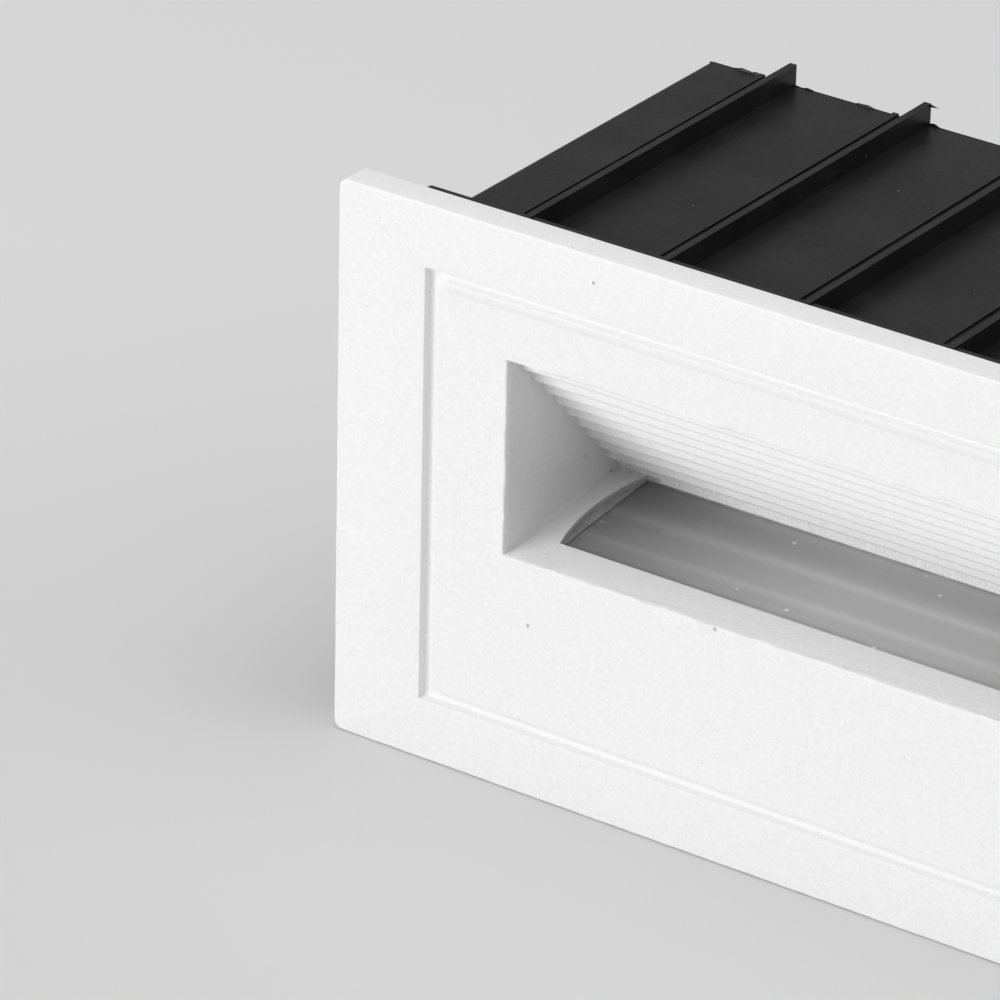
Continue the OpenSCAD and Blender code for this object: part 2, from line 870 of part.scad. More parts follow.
module face_gasket() {
    in_l = box_in_half_l + gasket_in;
    in_h = box_in_half_h + gasket_in;
    color("black")
        difference() {
            upright(0, face_gasket_t)
                rounded(in_l + gasket_w, in_h + gasket_w, plate_corner_r);
            upright(-over, face_gasket_t + over)
                square([2 * in_l, 2 * in_h], center = true);
        }
}

// Puts the right-hand clip's drawing on the left or the right
module at_end(side) {
    if (side < 0)
        mirror([1, 0, 0])
            children();
    else
        children();
}

module clip_bracket(side) {
    color("silver")
        at_end(side)
            difference() {
                union() {
                    block([housing_half_l, clip_base_front, -clip_base_half],
                          [housing_half_l + clip_sheet, clip_base_back, clip_base_half]);
                    for (up = [-1, 1])
                        translate([housing_half_l + clip_ear_out / 2, clip_pin_y, up * (clip_ear_half - clip_sheet / 2)])
                            cube([clip_ear_out, clip_ear_l, clip_sheet], center = true);
                }
                translate([clip_pin_x, clip_pin_y, -clip_ear_half - over])
                    cylinder(r = clip_pin_r, h = 2 * (clip_ear_half + over));
                for (up = [-1, 1])
                    translate([0, rivet_y, up * rivet_z])
                        rod_x(rivet_r, housing_half_l - over, housing_half_l + clip_sheet + over);
            }
}

module clip_pin(side) {
    reach = clip_ear_half + clip_sheet / 2;
    color("silver")
        at_end(side)
            translate([clip_pin_x, clip_pin_y, -reach])
                cylinder(r = clip_pin_r, h = 2 * reach);
}

module clip_rivets() {
    head_x = housing_half_l + clip_sheet;
    color("silver")
        for (side = [-1, 1])
            at_end(side)
                for (up = [-1, 1])
                    translate([0, rivet_y, up * rivet_z]) {
                        rod_x(rivet_r, housing_half_l - housing_wall, head_x);
                        rod_x(rivet_head_r, head_x, head_x + rivet_head_h);
                        rod_x(rivet_head_r, housing_half_l - housing_wall - rivet_head_h, housing_half_l - housing_wall);
                    }
}

module clip_arm(side) {
    color("silver")
        at_end(side)
            difference() {
                union() {
                    for (up = [-1, 1])
                        translate([clip_pin_x, clip_pin_y, up * (eye_w + eye_h) / 2 - eye_h / 2])
                            cylinder(r = eye_r, h = eye_h);
                    translate([clip_blade_x, clip_pin_y, 0])
                        rotate([0, 0, -clip_lean]) {
                            translate([0, clip_run / 2, 0])
                                cube([clip_blade_t, clip_run, clip_blade_w], center = true);
                            translate([clip_blade_t / 2 - clip_tip_r, clip_run, -clip_blade_w / 2])
                                clip_tip();
                        }
                }
                translate([clip_pin_x, clip_pin_y, -clip_blade_w])
                    cylinder(r = clip_pin_r + pin_gap, h = 2 * clip_blade_w);
                translate([clip_pin_x, clip_pin_y, -eye_w / 2])
                    cylinder(r = eye_r + move_gap, h = eye_w);
            }
}

// Curled end of the blade
module clip_tip() {
    difference() {
        cylinder(r = clip_tip_r, h = clip_blade_w);
        translate([0, 0, -over])
            cylinder(r = clip_tip_r - clip_blade_t, h = clip_blade_w + 2 * over);
        translate([-clip_tip_r - over, -clip_tip_r - over, -over])
            cube([2 * (clip_tip_r + over), clip_tip_r + over, clip_blade_w + 2 * over]);
    }
}

module clip_spring(side) {
    color("gray")
        at_end(side)
            translate([clip_pin_x, clip_pin_y, 0])
                difference() {
                    union() {
                        translate([0, 0, -spring_half])
                            cylinder(r = spring_out_r, h = 2 * spring_half);
                        translate([clip_blade_x - clip_pin_x, 0, 0])
                            rotate([0, 0, -clip_lean])
                                translate([-clip_blade_t / 2 - spring_wire_r, 0, 0])
                                    rotate([-90, 0, 0])
                                        cylinder(r = spring_wire_r, h = spring_leg_l);
                        translate([-spring_mid_r, 0, 0])
                            rotate([-90, 0, spring_lean])
                                cylinder(r = spring_wire_r, h = spring_leg_l);
                    }
                    translate([0, 0, -spring_half - over])
                        cylinder(r = spring_in_r, h = 2 * (spring_half + over));
                }
}

module wall_box() {
    color([0.1, 0.1, 0.11])
        difference() {
            union() {
                upright(flange_y, flange_back_y)
                    rounded(flange_half_l, flange_half_h, box_corner_r);
                upright(flange_y, box_depth)
                    rounded(box_half_l, box_half_h, box_corner_r);
                for (i = [0:rib_count - 1])
                    block([i * rib_pitch - rib_span / 2 - rib_t / 2, flange_y, -box_half_h - rib_h],
                          [i * rib_pitch - rib_span / 2 + rib_t / 2, box_depth, box_half_h + rib_h]);
                for (i = [0:rib_count - 1])
                    block([i * rib_pitch - rib_span / 2 - bead_off - bead_w / 2, flange_y, -box_half_h - bead_h],
                          [i * rib_pitch - rib_span / 2 - bead_off + bead_w / 2, box_depth, box_half_h + bead_h]);
                for (up = [-1, 1])
                    block([-box_half_l - rib_h, flange_y, up * end_rib_z - rib_t / 2],
                          [box_half_l + rib_h, box_depth, up * end_rib_z + rib_t / 2]);
                translate([0, entry_y, 0])
                    rod_x(entry_r + spout_wall, -box_half_l - spout_l, box_half_l + spout_l);
            }
            upright(flange_y - over, box_depth - box_wall)
                rounded(box_in_half_l, box_in_half_h, box_corner_r);
            translate([0, entry_y, 0])
                rod_x(entry_r, -box_half_l - spout_l - over, box_half_l + spout_l + over);
            for (side = [-1, 1], up = [-1, 1])
                translate([side * fixing_x, 0, up * fixing_z])
                    rod_y(fixing_r, box_depth - box_wall - over, box_depth + over);
            for (side = [-1, 1])
                translate([side * knock_x, 0, 0])
                    knock_ring();
            for (side = [-1, 1])
                at_end(side)
                    for (i = [0:grip_count - 1])
                        translate([box_in_half_l, clip_pin_y + clip_blade_l - i * grip_pitch, 0])
                            cube([2 * grip_depth, grip_w, grip_h], center = true);
        }
    color([0.1, 0.1, 0.11])
        for (side = [-1, 1], far = [1, 2], up = [-1, 1])
            guide_rib(side * far * guide_x, up);
}

// Ring groove that marks a knock-out in the box's back
module knock_ring() {
    difference() {
        rod_y(knock_r, box_depth - groove_ring_depth, box_depth + over);
        rod_y(knock_r - groove_ring_w, box_depth - groove_ring_depth - over, box_depth + 2 * over);
    }
}

// Rib inside the box that guides and carries the lamp body
module guide_rib(x, up) {
    z0 = box_in_half_h - guide_h;
    z1 = box_in_half_h + box_wall / 2;
    translate([x - guide_t / 2, guide_start, up > 0 ? z0 : -z1])
        cube([guide_t, housing_depth - guide_start, z1 - z0]);
}

module entry_plug() {
    out_x = box_half_l + spout_l;
    in_x = box_in_half_l;
    color("black")
        translate([0, entry_y, 0])
            mirror([1, 0, 0])
                difference() {
                    union() {
                        rod_x(entry_r - plug_gap, in_x, out_x);
                        rod_x(entry_r + plug_cap_reach, out_x, out_x + plug_cap_t);
                    }
                    rod_x(entry_r - plug_gap - plug_bore_wall, in_x - over, out_x);
                }
}

face_casting();
glass_pane();
glass_seal();
glass_retainer();
led_bracket();
retainer_screws();
reflector();
led_board();
thermal_pad();
led_chips();
board_screws();
led_connector();
led_lead_red();
led_lead_black();
driver_case();
driver_pad();
rear_housing();
housing_seal();
housing_screws();
gland_body();
gland_washer();
gland_locknut();
gland_nut();
gland_bush();
earth_screw();
earth_washer();
face_gasket();
clip_bracket(-1);  // clip_bracket_left
clip_bracket(1);  // clip_bracket_right
clip_pin(-1);  // clip_pin_left
clip_pin(1);  // clip_pin_right
clip_rivets();
clip_arm(-1);  // clip_arm_left
clip_arm(1);  // clip_arm_right
clip_spring(-1);  // clip_spring_left
clip_spring(1);  // clip_spring_right
wall_box();
entry_plug();
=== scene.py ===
"""Looks of a recessed step light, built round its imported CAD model.

The white casting, with its grooved face and stepped recess, is built here as one closed mesh of
numpy grids. The screws, the springs, the gland's nut and the box's flash are turned or swept
profiles, and the other pieces are softened copies of the CAD nodes. Lengths in the classes are in
millimetres, and every object is in metres in the shared frame: X along the face, Y into the wall,
Z up.
"""

import logging
import math
from collections.abc import Callable
from dataclasses import dataclass, field
from enum import Enum

import bmesh
import bpy
import numpy as np
from mathutils import Matrix, Vector
from mathutils.geometry import tessellate_polygon
from numpy.typing import ArrayLike


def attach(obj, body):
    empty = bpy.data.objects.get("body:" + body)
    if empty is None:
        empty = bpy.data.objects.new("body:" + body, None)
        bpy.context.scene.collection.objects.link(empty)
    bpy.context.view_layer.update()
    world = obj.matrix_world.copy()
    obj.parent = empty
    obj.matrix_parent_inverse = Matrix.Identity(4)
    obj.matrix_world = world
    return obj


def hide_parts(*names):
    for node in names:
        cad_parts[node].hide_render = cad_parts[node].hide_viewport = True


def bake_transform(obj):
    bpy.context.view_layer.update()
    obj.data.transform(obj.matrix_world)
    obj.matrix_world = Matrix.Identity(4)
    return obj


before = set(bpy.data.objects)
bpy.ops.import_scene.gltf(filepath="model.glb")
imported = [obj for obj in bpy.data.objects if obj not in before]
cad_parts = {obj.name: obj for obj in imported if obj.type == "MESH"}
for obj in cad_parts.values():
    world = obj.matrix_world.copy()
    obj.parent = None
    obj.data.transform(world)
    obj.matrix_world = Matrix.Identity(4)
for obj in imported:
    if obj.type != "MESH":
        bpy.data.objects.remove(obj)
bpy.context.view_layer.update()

LOG = logging.getLogger("step_light")
MM = 0.001
Pair = tuple[float, float]
Triple = tuple[float, float, float]
Quad = tuple[float, float, float, float]

# Distance in metres under which points join, and turn under which two CAD faces are one
MERGE = 2e-6
FLAT_TURN = math.radians(0.3)

# The panel's plane, the sill's height in it, and the angle at which the sill climbs from there
PANEL_Y = -5.1
SILL_Z = -8.9
SILL_TURN = math.radians(5.5)
SILL_SLOPE = math.tan(SILL_TURN)

# The lattice noise's hash: steps for the axes and for the seed, its mixer and its largest value
HASH_STEPS = np.array([374761393, 668265263, 1442695041])
HASH_SEED = 974711
HASH_MIX = 1274126177
HASH_TOP = 0xFFFFFFFF


class Body(Enum):
    """The CAD bodies that a piece can ride on."""

    BOX = "box"
    LAMP = "lamp_body"
    LEFT_CLIP = "left_clip"
    RIGHT_CLIP = "right_clip"


class Shade(Enum):
    """The angle from which a piece's edges stay sharp."""

    MACHINED = math.radians(32)
    CAST = math.radians(40)


class Drive(Enum):
    """Recess in a screw's head."""

    CROSS = 1
    SLOT = 2


# Procedural shaders


def _maths(operation: str, swapped: bool = False) -> Callable[["Wave", "Wave | float"], "Wave"]:
    """Makes an operator that adds a Math node.

    Args:
        operation: The Math node's operation.
        swapped: True for the reflected form, with the number on the left.

    Returns:
        The method.
    """

    def method(wave: "Wave", other: "Wave | float") -> "Wave":
        """Adds the node for a socket and a second value."""
        return wave.maths(operation, *((other, wave) if swapped else (wave, other)))

    return method


@dataclass(frozen=True, eq=False)
class Wave:
    """One output socket of a shader, with arithmetic that adds Math nodes."""

    graph: "Graph"
    socket: bpy.types.NodeSocket

    def maths(self, operation: str, *values: "Wave | float") -> "Wave":
        """Adds a Math node.

        Args:
            operation: The Math node's operation.
            values: Its operands, as sockets or numbers.

        Returns:
            The node's result.
        """
        sockets = dict(enumerate(values))
        return self.graph.node("ShaderNodeMath", {"operation": operation}, sockets)

    __add__, __radd__ = _maths("ADD"), _maths("ADD", True)
    __sub__, __rsub__ = _maths("SUBTRACT"), _maths("SUBTRACT", True)
    __mul__, __rmul__ = _maths("MULTIPLY"), _maths("MULTIPLY", True)
    __truediv__, __rtruediv__ = _maths("DIVIDE"), _maths("DIVIDE", True)
    most = _maths("MAXIMUM")

    def size(self) -> "Wave":
        """Value without its sign."""
        return self.maths("ABSOLUTE", self)

    def ramp(self, low: float, high: float) -> "Wave":
        """Smooth step between two values.

        Args:
            low: Input at which the result is 0; it may be above high.
            high: Input at which the result is 1.

        Returns:
            The stepped value.
        """
        start, end = (1.0, 0.0) if low > high else (0.0, 1.0)
        return self.graph.node(
            "ShaderNodeMapRange",
            {"interpolation_type": "SMOOTHSTEP"},
            {"Value": self, 1: min(low, high), 2: max(low, high), 3: start, 4: end},
        )


@dataclass(frozen=True)
class Grain:
    """A noise: its grain, its finer layers, their strength, and a grain's length on each axis."""

    size: float
    detail: float = 2.0
    rough: float = 0.5
    stretch: Triple = (1, 1, 1)


class Graph:
    """A material's node tree with one Principled surface."""

    def __init__(self, name: str) -> None:
        """Starts a material.

        Args:
            name: Name of the new material.
        """
        self.material = bpy.data.materials.new(name)
        self.material.use_nodes = True
        self.tree = self.material.node_tree
        self.tree.nodes.clear()
        output = self.tree.nodes.new("ShaderNodeOutputMaterial")
        self.surface = self.tree.nodes.new("ShaderNodeBsdfPrincipled")
        self.tree.links.new(self.surface.outputs[0], output.inputs["Surface"])
        self.place = self.node("ShaderNodeTexCoord", result="Object")

    def node(
        self,
        kind: str,
        settings: dict[str, object] | None = None,
        sockets: dict[str | int, object] | None = None,
        result: str | int = 0,
    ) -> Wave:
        """Adds any node.

        Args:
            kind: The node's type.
            settings: Its properties, which are set first.
            sockets: Its inputs by name or number, as sockets or constants.
            result: The output that is returned.

        Returns:
            The chosen output.
        """
        made = self.tree.nodes.new(kind)
        for key, value in (settings or {}).items():
            setattr(made, key, value)
        for key, value in (sockets or {}).items():
            self.feed(made.inputs[key], value)
        return Wave(self, made.outputs[result])

    def feed(self, socket: bpy.types.NodeSocket, value: object) -> None:
        """Links or sets an input.

        Args:
            socket: The input.
            value: A Wave to link, or a constant to set.
        """
        if isinstance(value, Wave):
            self.tree.links.new(value.socket, socket)
        else:
            socket.default_value = value

    def scaled(self, scale: Triple) -> Wave:
        """Object coordinates times a factor along each axis."""
        return self.node("ShaderNodeMapping", sockets={"Vector": self.place, "Scale": scale})

    def axes(self) -> tuple[Wave, ...]:
        """Object coordinates in millimetres, one socket an axis."""
        split = self.node("ShaderNodeSeparateXYZ", sockets={0: self.scaled((1 / MM,) * 3)})
        return tuple(Wave(self, out) for out in split.socket.node.outputs)

    def noise(self, grain: Grain) -> Wave:
        """Noise with a given grain.

        Args:
            grain: The grain.

        Returns:
            The noise, from 0 to 1.
        """
        sockets = {
            "Vector": self.scaled(tuple(1.0 / s for s in grain.stretch)),
            "Scale": 1 / MM / grain.size,
            "Detail": grain.detail,
            "Roughness": grain.rough,
        }
        return self.node("ShaderNodeTexNoise", sockets=sockets)

    def specks(self, pitch: float, radius: float) -> Wave:
        """Scattered round specks: a cell's point is a speck where a broad noise is high.

        Args:
            pitch: Mean distance between points.
            radius: Largest radius of a speck.

        Returns:
            1 inside a speck and 0 outside.
        """
        sockets = {"Vector": self.place, "Scale": 1 / MM / pitch}
        near = self.node("ShaderNodeTexVoronoi", sockets=sockets, result="Distance")
        pick = self.noise(Grain(pitch * 1.7, 0.0)).ramp(0.45, 0.66)
        return (pick * (radius / pitch) - near).ramp(0.0, 0.25 * radius / pitch)

    def blend(self, part: Wave, low: Wave | Quad, high: Wave | Quad) -> Wave:
        """Mix of two colours.

        Args:
            part: Share of the second colour.
            low: First colour.
            high: Second colour.

        Returns:
            The mixed colour.
        """
        colours = {0: part, 6: low, 7: high}
        return self.node("ShaderNodeMix", {"data_type": "RGBA"}, colours, 2)

    def tint(self, tone: Wave, mask: Wave, share: float, level: float) -> Wave:
        """Mixes a grey into a colour.

        Args:
            tone: The colour.
            mask: Where the grey goes, from 0 to 1.
            share: The grey's share where the mask is 1.
            level: The grey's linear value.

        Returns:
            The mixed colour.
        """
        return self.blend(mask * share, tone, grey(level))

    def cloudy(self, colour: Triple, dark: float, cloud: Wave) -> Wave:
        """A colour that goes down to a share of itself where a cloud is 1."""
        low = tuple(dark * c for c in colour)
        return self.blend(cloud, (*colour, 1.0), (*low, 1.0))

    def relief(self, height: Wave, depth: float, under: Wave | None = None) -> Wave:
        """Bump from a height field.

        Args:
            height: The height, from 0 to 1.
            depth: Height between 0 and 1.
            under: An earlier bump that this one is added to.

        Returns:
            The bent normal.
        """
        sockets = {"Height": height, "Distance": depth * MM, "Strength": 1.0}
        if under is not None:
            sockets["Normal"] = under
        return self.node("ShaderNodeBump", sockets=sockets)

    def set(self, **values: object) -> None:
        """Feeds the surface's inputs.

        Args:
            values: Values by input name, with underscores for spaces.
        """
        for key, value in values.items():
            self.feed(self.surface.inputs[key.replace("_", " ")], value)


def grey(value: float) -> Quad:
    """A neutral colour of a linear value, with full alpha."""
    return (value, value, value, 1.0)


@dataclass(frozen=True)
class Finish:
    """A surface finish, named after the record's material slot."""

    slot: str

    def paint(self, graph: Graph) -> None:
        """Adds the finish's nodes.

        Args:
            graph: The material's graph.
        """
        raise NotImplementedError

    def material(self) -> bpy.types.Material:
        """Makes the material of this finish once.

        Returns:
            The material.
        """
        name = f"mat_{self.slot}"
        found = bpy.data.materials.get(name)
        if found is None:
            graph = Graph(name)
            self.paint(graph)
            found = graph.material
        return found


@dataclass(frozen=True)
class CastPaint(Finish):
    """White stoved paint over a sand-textured casting, with pits, dirt and painted shade.

    Specks are a pitch and a radius, a mask's limits are the places where it is 0 and 1, a tint is
    a grey's share and its value, and a scar is a pit's place and its radius.
    """

    albedo: float = 0.885
    mottle: Grain = Grain(0.7, 4.0, 0.7)
    mottle_mask: Pair = (0.36, 0.66)
    mottle_tones: Pair = (1.024, 0.972)
    fine: Grain = Grain(0.55, 3.0, 0.6)
    fine_depth: float = 0.06
    broad: Grain = Grain(5.0, 3.0, 0.55)
    broad_depth: float = 0.06
    # Painted shade: the recess's end walls are darkened inside the mouth, where little light
    # reaches
    ends: tuple[Pair, ...] = ((70.6, 71.7), (74.0, 73.0), (-5.0, -3.0), (40.0, 36.0))
    end_wall_shade_tint: Pair = (0.17, 0.3)
    # Painted shadow: the window's lip wall at its bowed ends is darkened below the sill
    lip: tuple[Pair, ...] = ((-0.05, -0.25), (-4.0, -3.5), (2.0, 3.0), (62.0, 64.0))
    lip_shade_tint: Pair = (0.55, 0.2)
    crust: Grain = Grain(0.6, 2.0, 0.6)
    crust_y: Pair = (28.0, 31.2)
    crust_mask: Pair = (0.5, 0.62)
    crust_tint: Pair = (0.22, 0.4)
    dirt: Pair = (3.2, 0.2)
    dirt_tint: Pair = (0.35, 0.35)
    pits: Pair = (8.0, 0.34)
    pits_tint: Pair = (0.55, 0.22)
    pits_depth: float = -0.12
    scar_edge: Grain = Grain(0.5, 1.0)
    scar_mask: Pair = (1.2, 0.7)
    scars: tuple[Quad, ...] = (
        (-66.1, -5.1, -21.3, 0.5),
        (-26.5, -5.1, -9.4, 0.55),
        (-71.8, 14.0, 11.9, 0.45),
        (-71.8, 20.1, 0.8, 0.5),
        (-71.8, 28.6, -5.4, 0.5),
    )

    def paint(self, graph: Graph) -> None:
        """Adds the finish's nodes.

        Args:
            graph: The material's graph.
        """
        fine, broad, mottle = (graph.noise(g) for g in (self.fine, self.broad, self.mottle))
        pits = graph.specks(*self.pits)
        light, dark = (grey(self.albedo * tone) for tone in self.mottle_tones)
        tone = graph.blend(mottle.ramp(*self.mottle_mask), light, dark)
        x, y, z = graph.axes()
        out = x.size()
        # Painted shade on the recess's end walls inside the mouth
        near, far, deep, tall = self.ends
        inside = out.ramp(*near) * out.ramp(*far) * y.ramp(*deep) * z.size().ramp(*tall)
        tone = graph.tint(tone, inside, *self.end_wall_shade_tint)
        # Painted shadow on the window's lip wall below the sill, at its ends
        above = z - SILL_Z - (y - PANEL_Y) * SILL_SLOPE
        under, over, deep, side = self.lip
        lip = above.ramp(*under) * above.ramp(*over) * y.ramp(*deep) * out.ramp(*side)
        tone = graph.tint(tone, lip, *self.lip_shade_tint)
        crust = y.ramp(*self.crust_y) * graph.noise(self.crust).ramp(*self.crust_mask)
        tone = graph.tint(tone, crust, *self.crust_tint)
        for *place, radius in self.scars:
            both = {0: graph.place, 1: tuple(v * MM for v in place)}
            off = graph.node("ShaderNodeVectorMath", {"operation": "DISTANCE"}, both, "Value")
            ragged = off / (radius * MM) + 0.6 * graph.noise(self.scar_edge)
            pits = pits.most(ragged.ramp(*self.scar_mask))
        tone = graph.tint(tone, graph.specks(*self.dirt), *self.dirt_tint)
        tone = graph.tint(tone, pits, *self.pits_tint)
        bump = graph.relief(broad, self.broad_depth)
        bump = graph.relief(fine, self.fine_depth, bump)
        bump = graph.relief(pits, self.pits_depth, bump)
        rough = 0.42 + 0.2 * mottle
        graph.set(Base_Color=tone, Roughness=rough, Specular_IOR_Level=0.35, Normal=bump)


@dataclass(frozen=True)
class FrostedGlass(Finish):
    """Frosted pane with smudges, dust and painted light.

    Its grey falls off towards its ends and its back as painted shade, and soft bright stripes of
    painted light run along X; a stripe is a depth, half a width and a gain.
    """

    middle: float = 0.53
    # Painted shade: the grey falls by this share towards the ends, over these distances from the
    # middle
    fall: float = 0.31
    end_shade_x: Pair = (10.0, 75.0)
    # Painted light: soft bright stripes along X, each a depth, half a width and a gain
    light_bands: tuple[Triple, ...] = ((4.8, 1.6, 0.26), (11.0, 2.0, 0.17), (20.0, 2.2, 0.18))
    warp: Grain = Grain(26.0, 1.0, 0.5, (3, 1, 1))
    warp_by: float = 1.6
    streaks: Grain = Grain(2.6, 2.0, 0.5, (14, 1, 1))
    # Painted shade: the grey is darker towards the back, over these depths
    back: float = 0.12
    back_shade_y: Pair = (20.5, 26.0)
    smudges: Grain = Grain(11.0, 4.0, 0.6)
    smudge_mask: Pair = (0.55, 0.8)
    mottle: Grain = Grain(0.6, 3.0, 0.7)
    gloss: Grain = Grain(3.0)
    frost: Grain = Grain(0.22, 2.0, 0.6)
    frost_depth: float = 0.012
    dust: Pair = (4.5, 0.55)

    def paint(self, graph: Graph) -> None:
        """Adds the finish's nodes.

        Args:
            graph: The material's graph.
        """
        x, y, _ = graph.axes()
        # Painted shade towards the pane's ends
        level = self.middle - self.fall * x.size().ramp(*self.end_shade_x)
        warped = y + self.warp_by * (graph.noise(self.warp) - 0.5)
        lines = 0.93 + 0.08 * graph.noise(self.streaks)
        # Painted light: the soft bright stripes
        for middle, half, gain in self.light_bands:
            lines = lines + gain * (warped - middle).size().ramp(half, 0.0)
        # Painted shade towards the pane's back
        lines = lines - self.back * y.ramp(*self.back_shade_y)
        smudge = graph.noise(self.smudges).ramp(*self.smudge_mask)
        level = level * lines * (0.96 + 0.08 * graph.noise(self.mottle))
        level = level * (1.0 - 0.1 * smudge) + 0.3 * graph.specks(*self.dust)
        graph.set(
            Base_Color=graph.blend(level, grey(0.0), grey(1.0)),
            Roughness=0.34 + 0.12 * graph.noise(self.gloss) + 0.1 * smudge,
            Specular_IOR_Level=0.5,
            Normal=graph.relief(graph.noise(self.frost), self.frost_depth),
        )


@dataclass(frozen=True)
class BlackMoulding(Finish):
    """Satin black plastic with flow marks, patchy gloss, fine scratches and dust."""

    albedo: float = 0.0125
    rough: float = 0.32
    dust: float = 0.25
    hazy: float = 1.7
    haze: Grain = Grain(14.0, 4.0, 0.6)
    haze_mask: Pair = (0.35, 0.75)
    flow: Grain = Grain(9.0, 3.0, 0.55, (1, 6, 1))
    flow_depth: float = 0.05
    grain: Grain = Grain(0.5, 3.0, 0.7)
    grain_depth: float = 0.03
    patch: Grain = Grain(1.6, 3.0, 0.7)
    scratch: Grain = Grain(0.3, 1.0, 0.5, (1, 40, 1))
    scratch_mask: Pair = (0.68, 0.76)
    scratch_tint: Pair = (0.12, 0.12)
    lint: Pair = (5.0, 0.3)
    lint_level: float = 0.5

    def paint(self, graph: Graph) -> None:
        """Adds the finish's nodes.

        Args:
            graph: The material's graph.
        """
        haze = graph.noise(self.haze)
        plain, pale = grey(self.albedo), grey(self.albedo * self.hazy)
        tone = graph.blend(haze.ramp(*self.haze_mask), plain, pale)
        scratch = graph.noise(self.scratch).ramp(*self.scratch_mask)
        tone = graph.tint(tone, scratch, *self.scratch_tint)
        tone = graph.tint(tone, graph.specks(*self.lint), self.dust, self.lint_level)
        bump = graph.relief(graph.noise(self.flow), self.flow_depth)
        graph.set(
            Base_Color=tone,
            Roughness=self.rough + 0.1 * haze + 0.22 * (graph.noise(self.patch) - 0.5),
            Specular_IOR_Level=0.17,
            Normal=graph.relief(graph.noise(self.grain), self.grain_depth, bump),
        )


@dataclass(frozen=True)
class Plastic(Finish):
    """Moulded plastic in any colour, darker in clouds, with spots and a fine spark-eroded grain.

    The clouds and the grain add to the roughness. A row of spots is a pitch and a radius, and the
    share and the value of their grey.
    """

    colour: Triple
    rough: float = 0.4
    grain: Grain = Grain(0.3, 2.0, 0.55)
    depth: float = 0.014
    cloud: Grain = Grain(8.0, 3.0, 0.6)
    cloud_mask: Pair = (0.3, 0.75)
    dark: float = 0.86
    rough_by: Pair = (0.16, 0.0)
    spots: tuple[Quad, ...] = ((5.0, 0.18, 0.3, 0.12),)
    specular: float = 0.5
    metallic: float = 0.0

    def paint(self, graph: Graph) -> None:
        """Adds the finish's nodes.

        Args:
            graph: The material's graph.
        """
        grain, cloud = graph.noise(self.grain), graph.noise(self.cloud)
        tone = graph.cloudy(self.colour, self.dark, cloud.ramp(*self.cloud_mask))
        for pitch, radius, share, level in self.spots:
            tone = graph.tint(tone, graph.specks(pitch, radius), share, level)
        by_cloud, by_grain = self.rough_by
        graph.set(
            Base_Color=tone,
            Metallic=self.metallic,
            Roughness=self.rough + by_cloud * cloud + by_grain * grain,
            Specular_IOR_Level=self.specular,
            Normal=graph.relief(grain, self.depth),
        )


@dataclass(frozen=True)
class Metal(Plastic):
    """Bare or plated metal with brushed lines, clouds and dark spots."""

    grain: Grain = Grain(0.25, 2.0, 0.6, (12, 1, 1))
    depth: float = 0.01
    cloud: Grain = Grain(6.0, 4.0, 0.6)
    cloud_mask: Pair = (0.3, 0.7)
    dark: float = 0.78
    rough_by: Pair = (0.18, 0.06)
    spots: tuple[Quad, ...] = ((5.0, 0.25, 0.4, 0.1),)
    metallic: float = 1.0


@dataclass(frozen=True)
class Rubber(Plastic):
    """Matt silicone, foam or rubber with a bloom and a fine open grain."""

    rough: float = 0.62
    cloud: Grain = Grain(5.0, 3.0, 0.6)
    dark: float = 0.7
    rough_by: Pair = (0.25, 0.0)
    spots: tuple[Quad, ...] = ()
    specular: float = 0.3


# Grains that finishes share: brushed upwards, turned, and three sizes of open cells
BRUSHED_UP, TURNED = (Grain(0.25, 2.0, 0.6, stretch) for stretch in ((1, 1, 10), (3, 3, 3)))
FINE_CELLS, CELLS, WIDE_CELLS = (Grain(size, 3.0, 0.7) for size in (0.3, 0.5, 0.6))
FINISHES: dict[str, Finish] = {
    finish.slot: finish
    for finish in (
        CastPaint("white_casting"),
        FrostedGlass("frosted_glass"),
        Rubber("grey_silicone", (0.4, 0.4, 0.4), grain=CELLS, depth=0.03),
        Metal("sheet_steel", (0.62, 0.62, 0.6), 0.34),
        Metal("spring_steel", (0.5, 0.5, 0.5), 0.28, BRUSHED_UP),
        Metal("zinc_screw", (0.66, 0.66, 0.62), 0.26, TURNED),
        Metal("brass_screw", (0.72, 0.52, 0.24), 0.26, TURNED),
        Metal("bare_aluminium", (0.72, 0.73, 0.74), 0.4),
        Plastic("white_sheet", (0.82, 0.82, 0.82), 0.3),
        Plastic("board_white", (0.8, 0.8, 0.79), 0.34),
        Rubber("pad_grey", (0.26, 0.28, 0.3), grain=FINE_CELLS, depth=0.02),
        Plastic("phosphor", (0.85, 0.72, 0.2), 0.3),
        Plastic("ivory_plastic", (0.75, 0.72, 0.62), 0.36),
        Plastic("lead_red", (0.5, 0.03, 0.02), 0.38),
        Plastic("lead_black", (0.02, 0.02, 0.02), 0.4),
        Plastic("white_plastic", (0.72, 0.72, 0.7), 0.42),
        Rubber("dark_rubber", (0.045, 0.045, 0.047), grain=CELLS, depth=0.03),
        BlackMoulding("black_nylon", 0.02, 0.4, 0.1),
        Rubber("black_foam", (0.022, 0.022, 0.022), grain=WIDE_CELLS, depth=0.1),
        BlackMoulding("black_box"),
    )
}


# Points and meshes


def xyz(x: ArrayLike, y: ArrayLike, z: ArrayLike) -> np.ndarray:
    """Points whose coordinates are arrays or numbers, spread to one shape."""
    return np.stack(np.broadcast_arrays(x, y, z), -1)


def quarter(strips: int) -> np.ndarray:
    """Angles of a quarter turn in equal strips."""
    return np.linspace(0, math.pi / 2, strips + 1)


def circle(columns: int) -> np.ndarray:
    """Angles of a full turn in equal strips, without the last."""
    return np.linspace(0, 2 * math.pi, columns, endpoint=False)


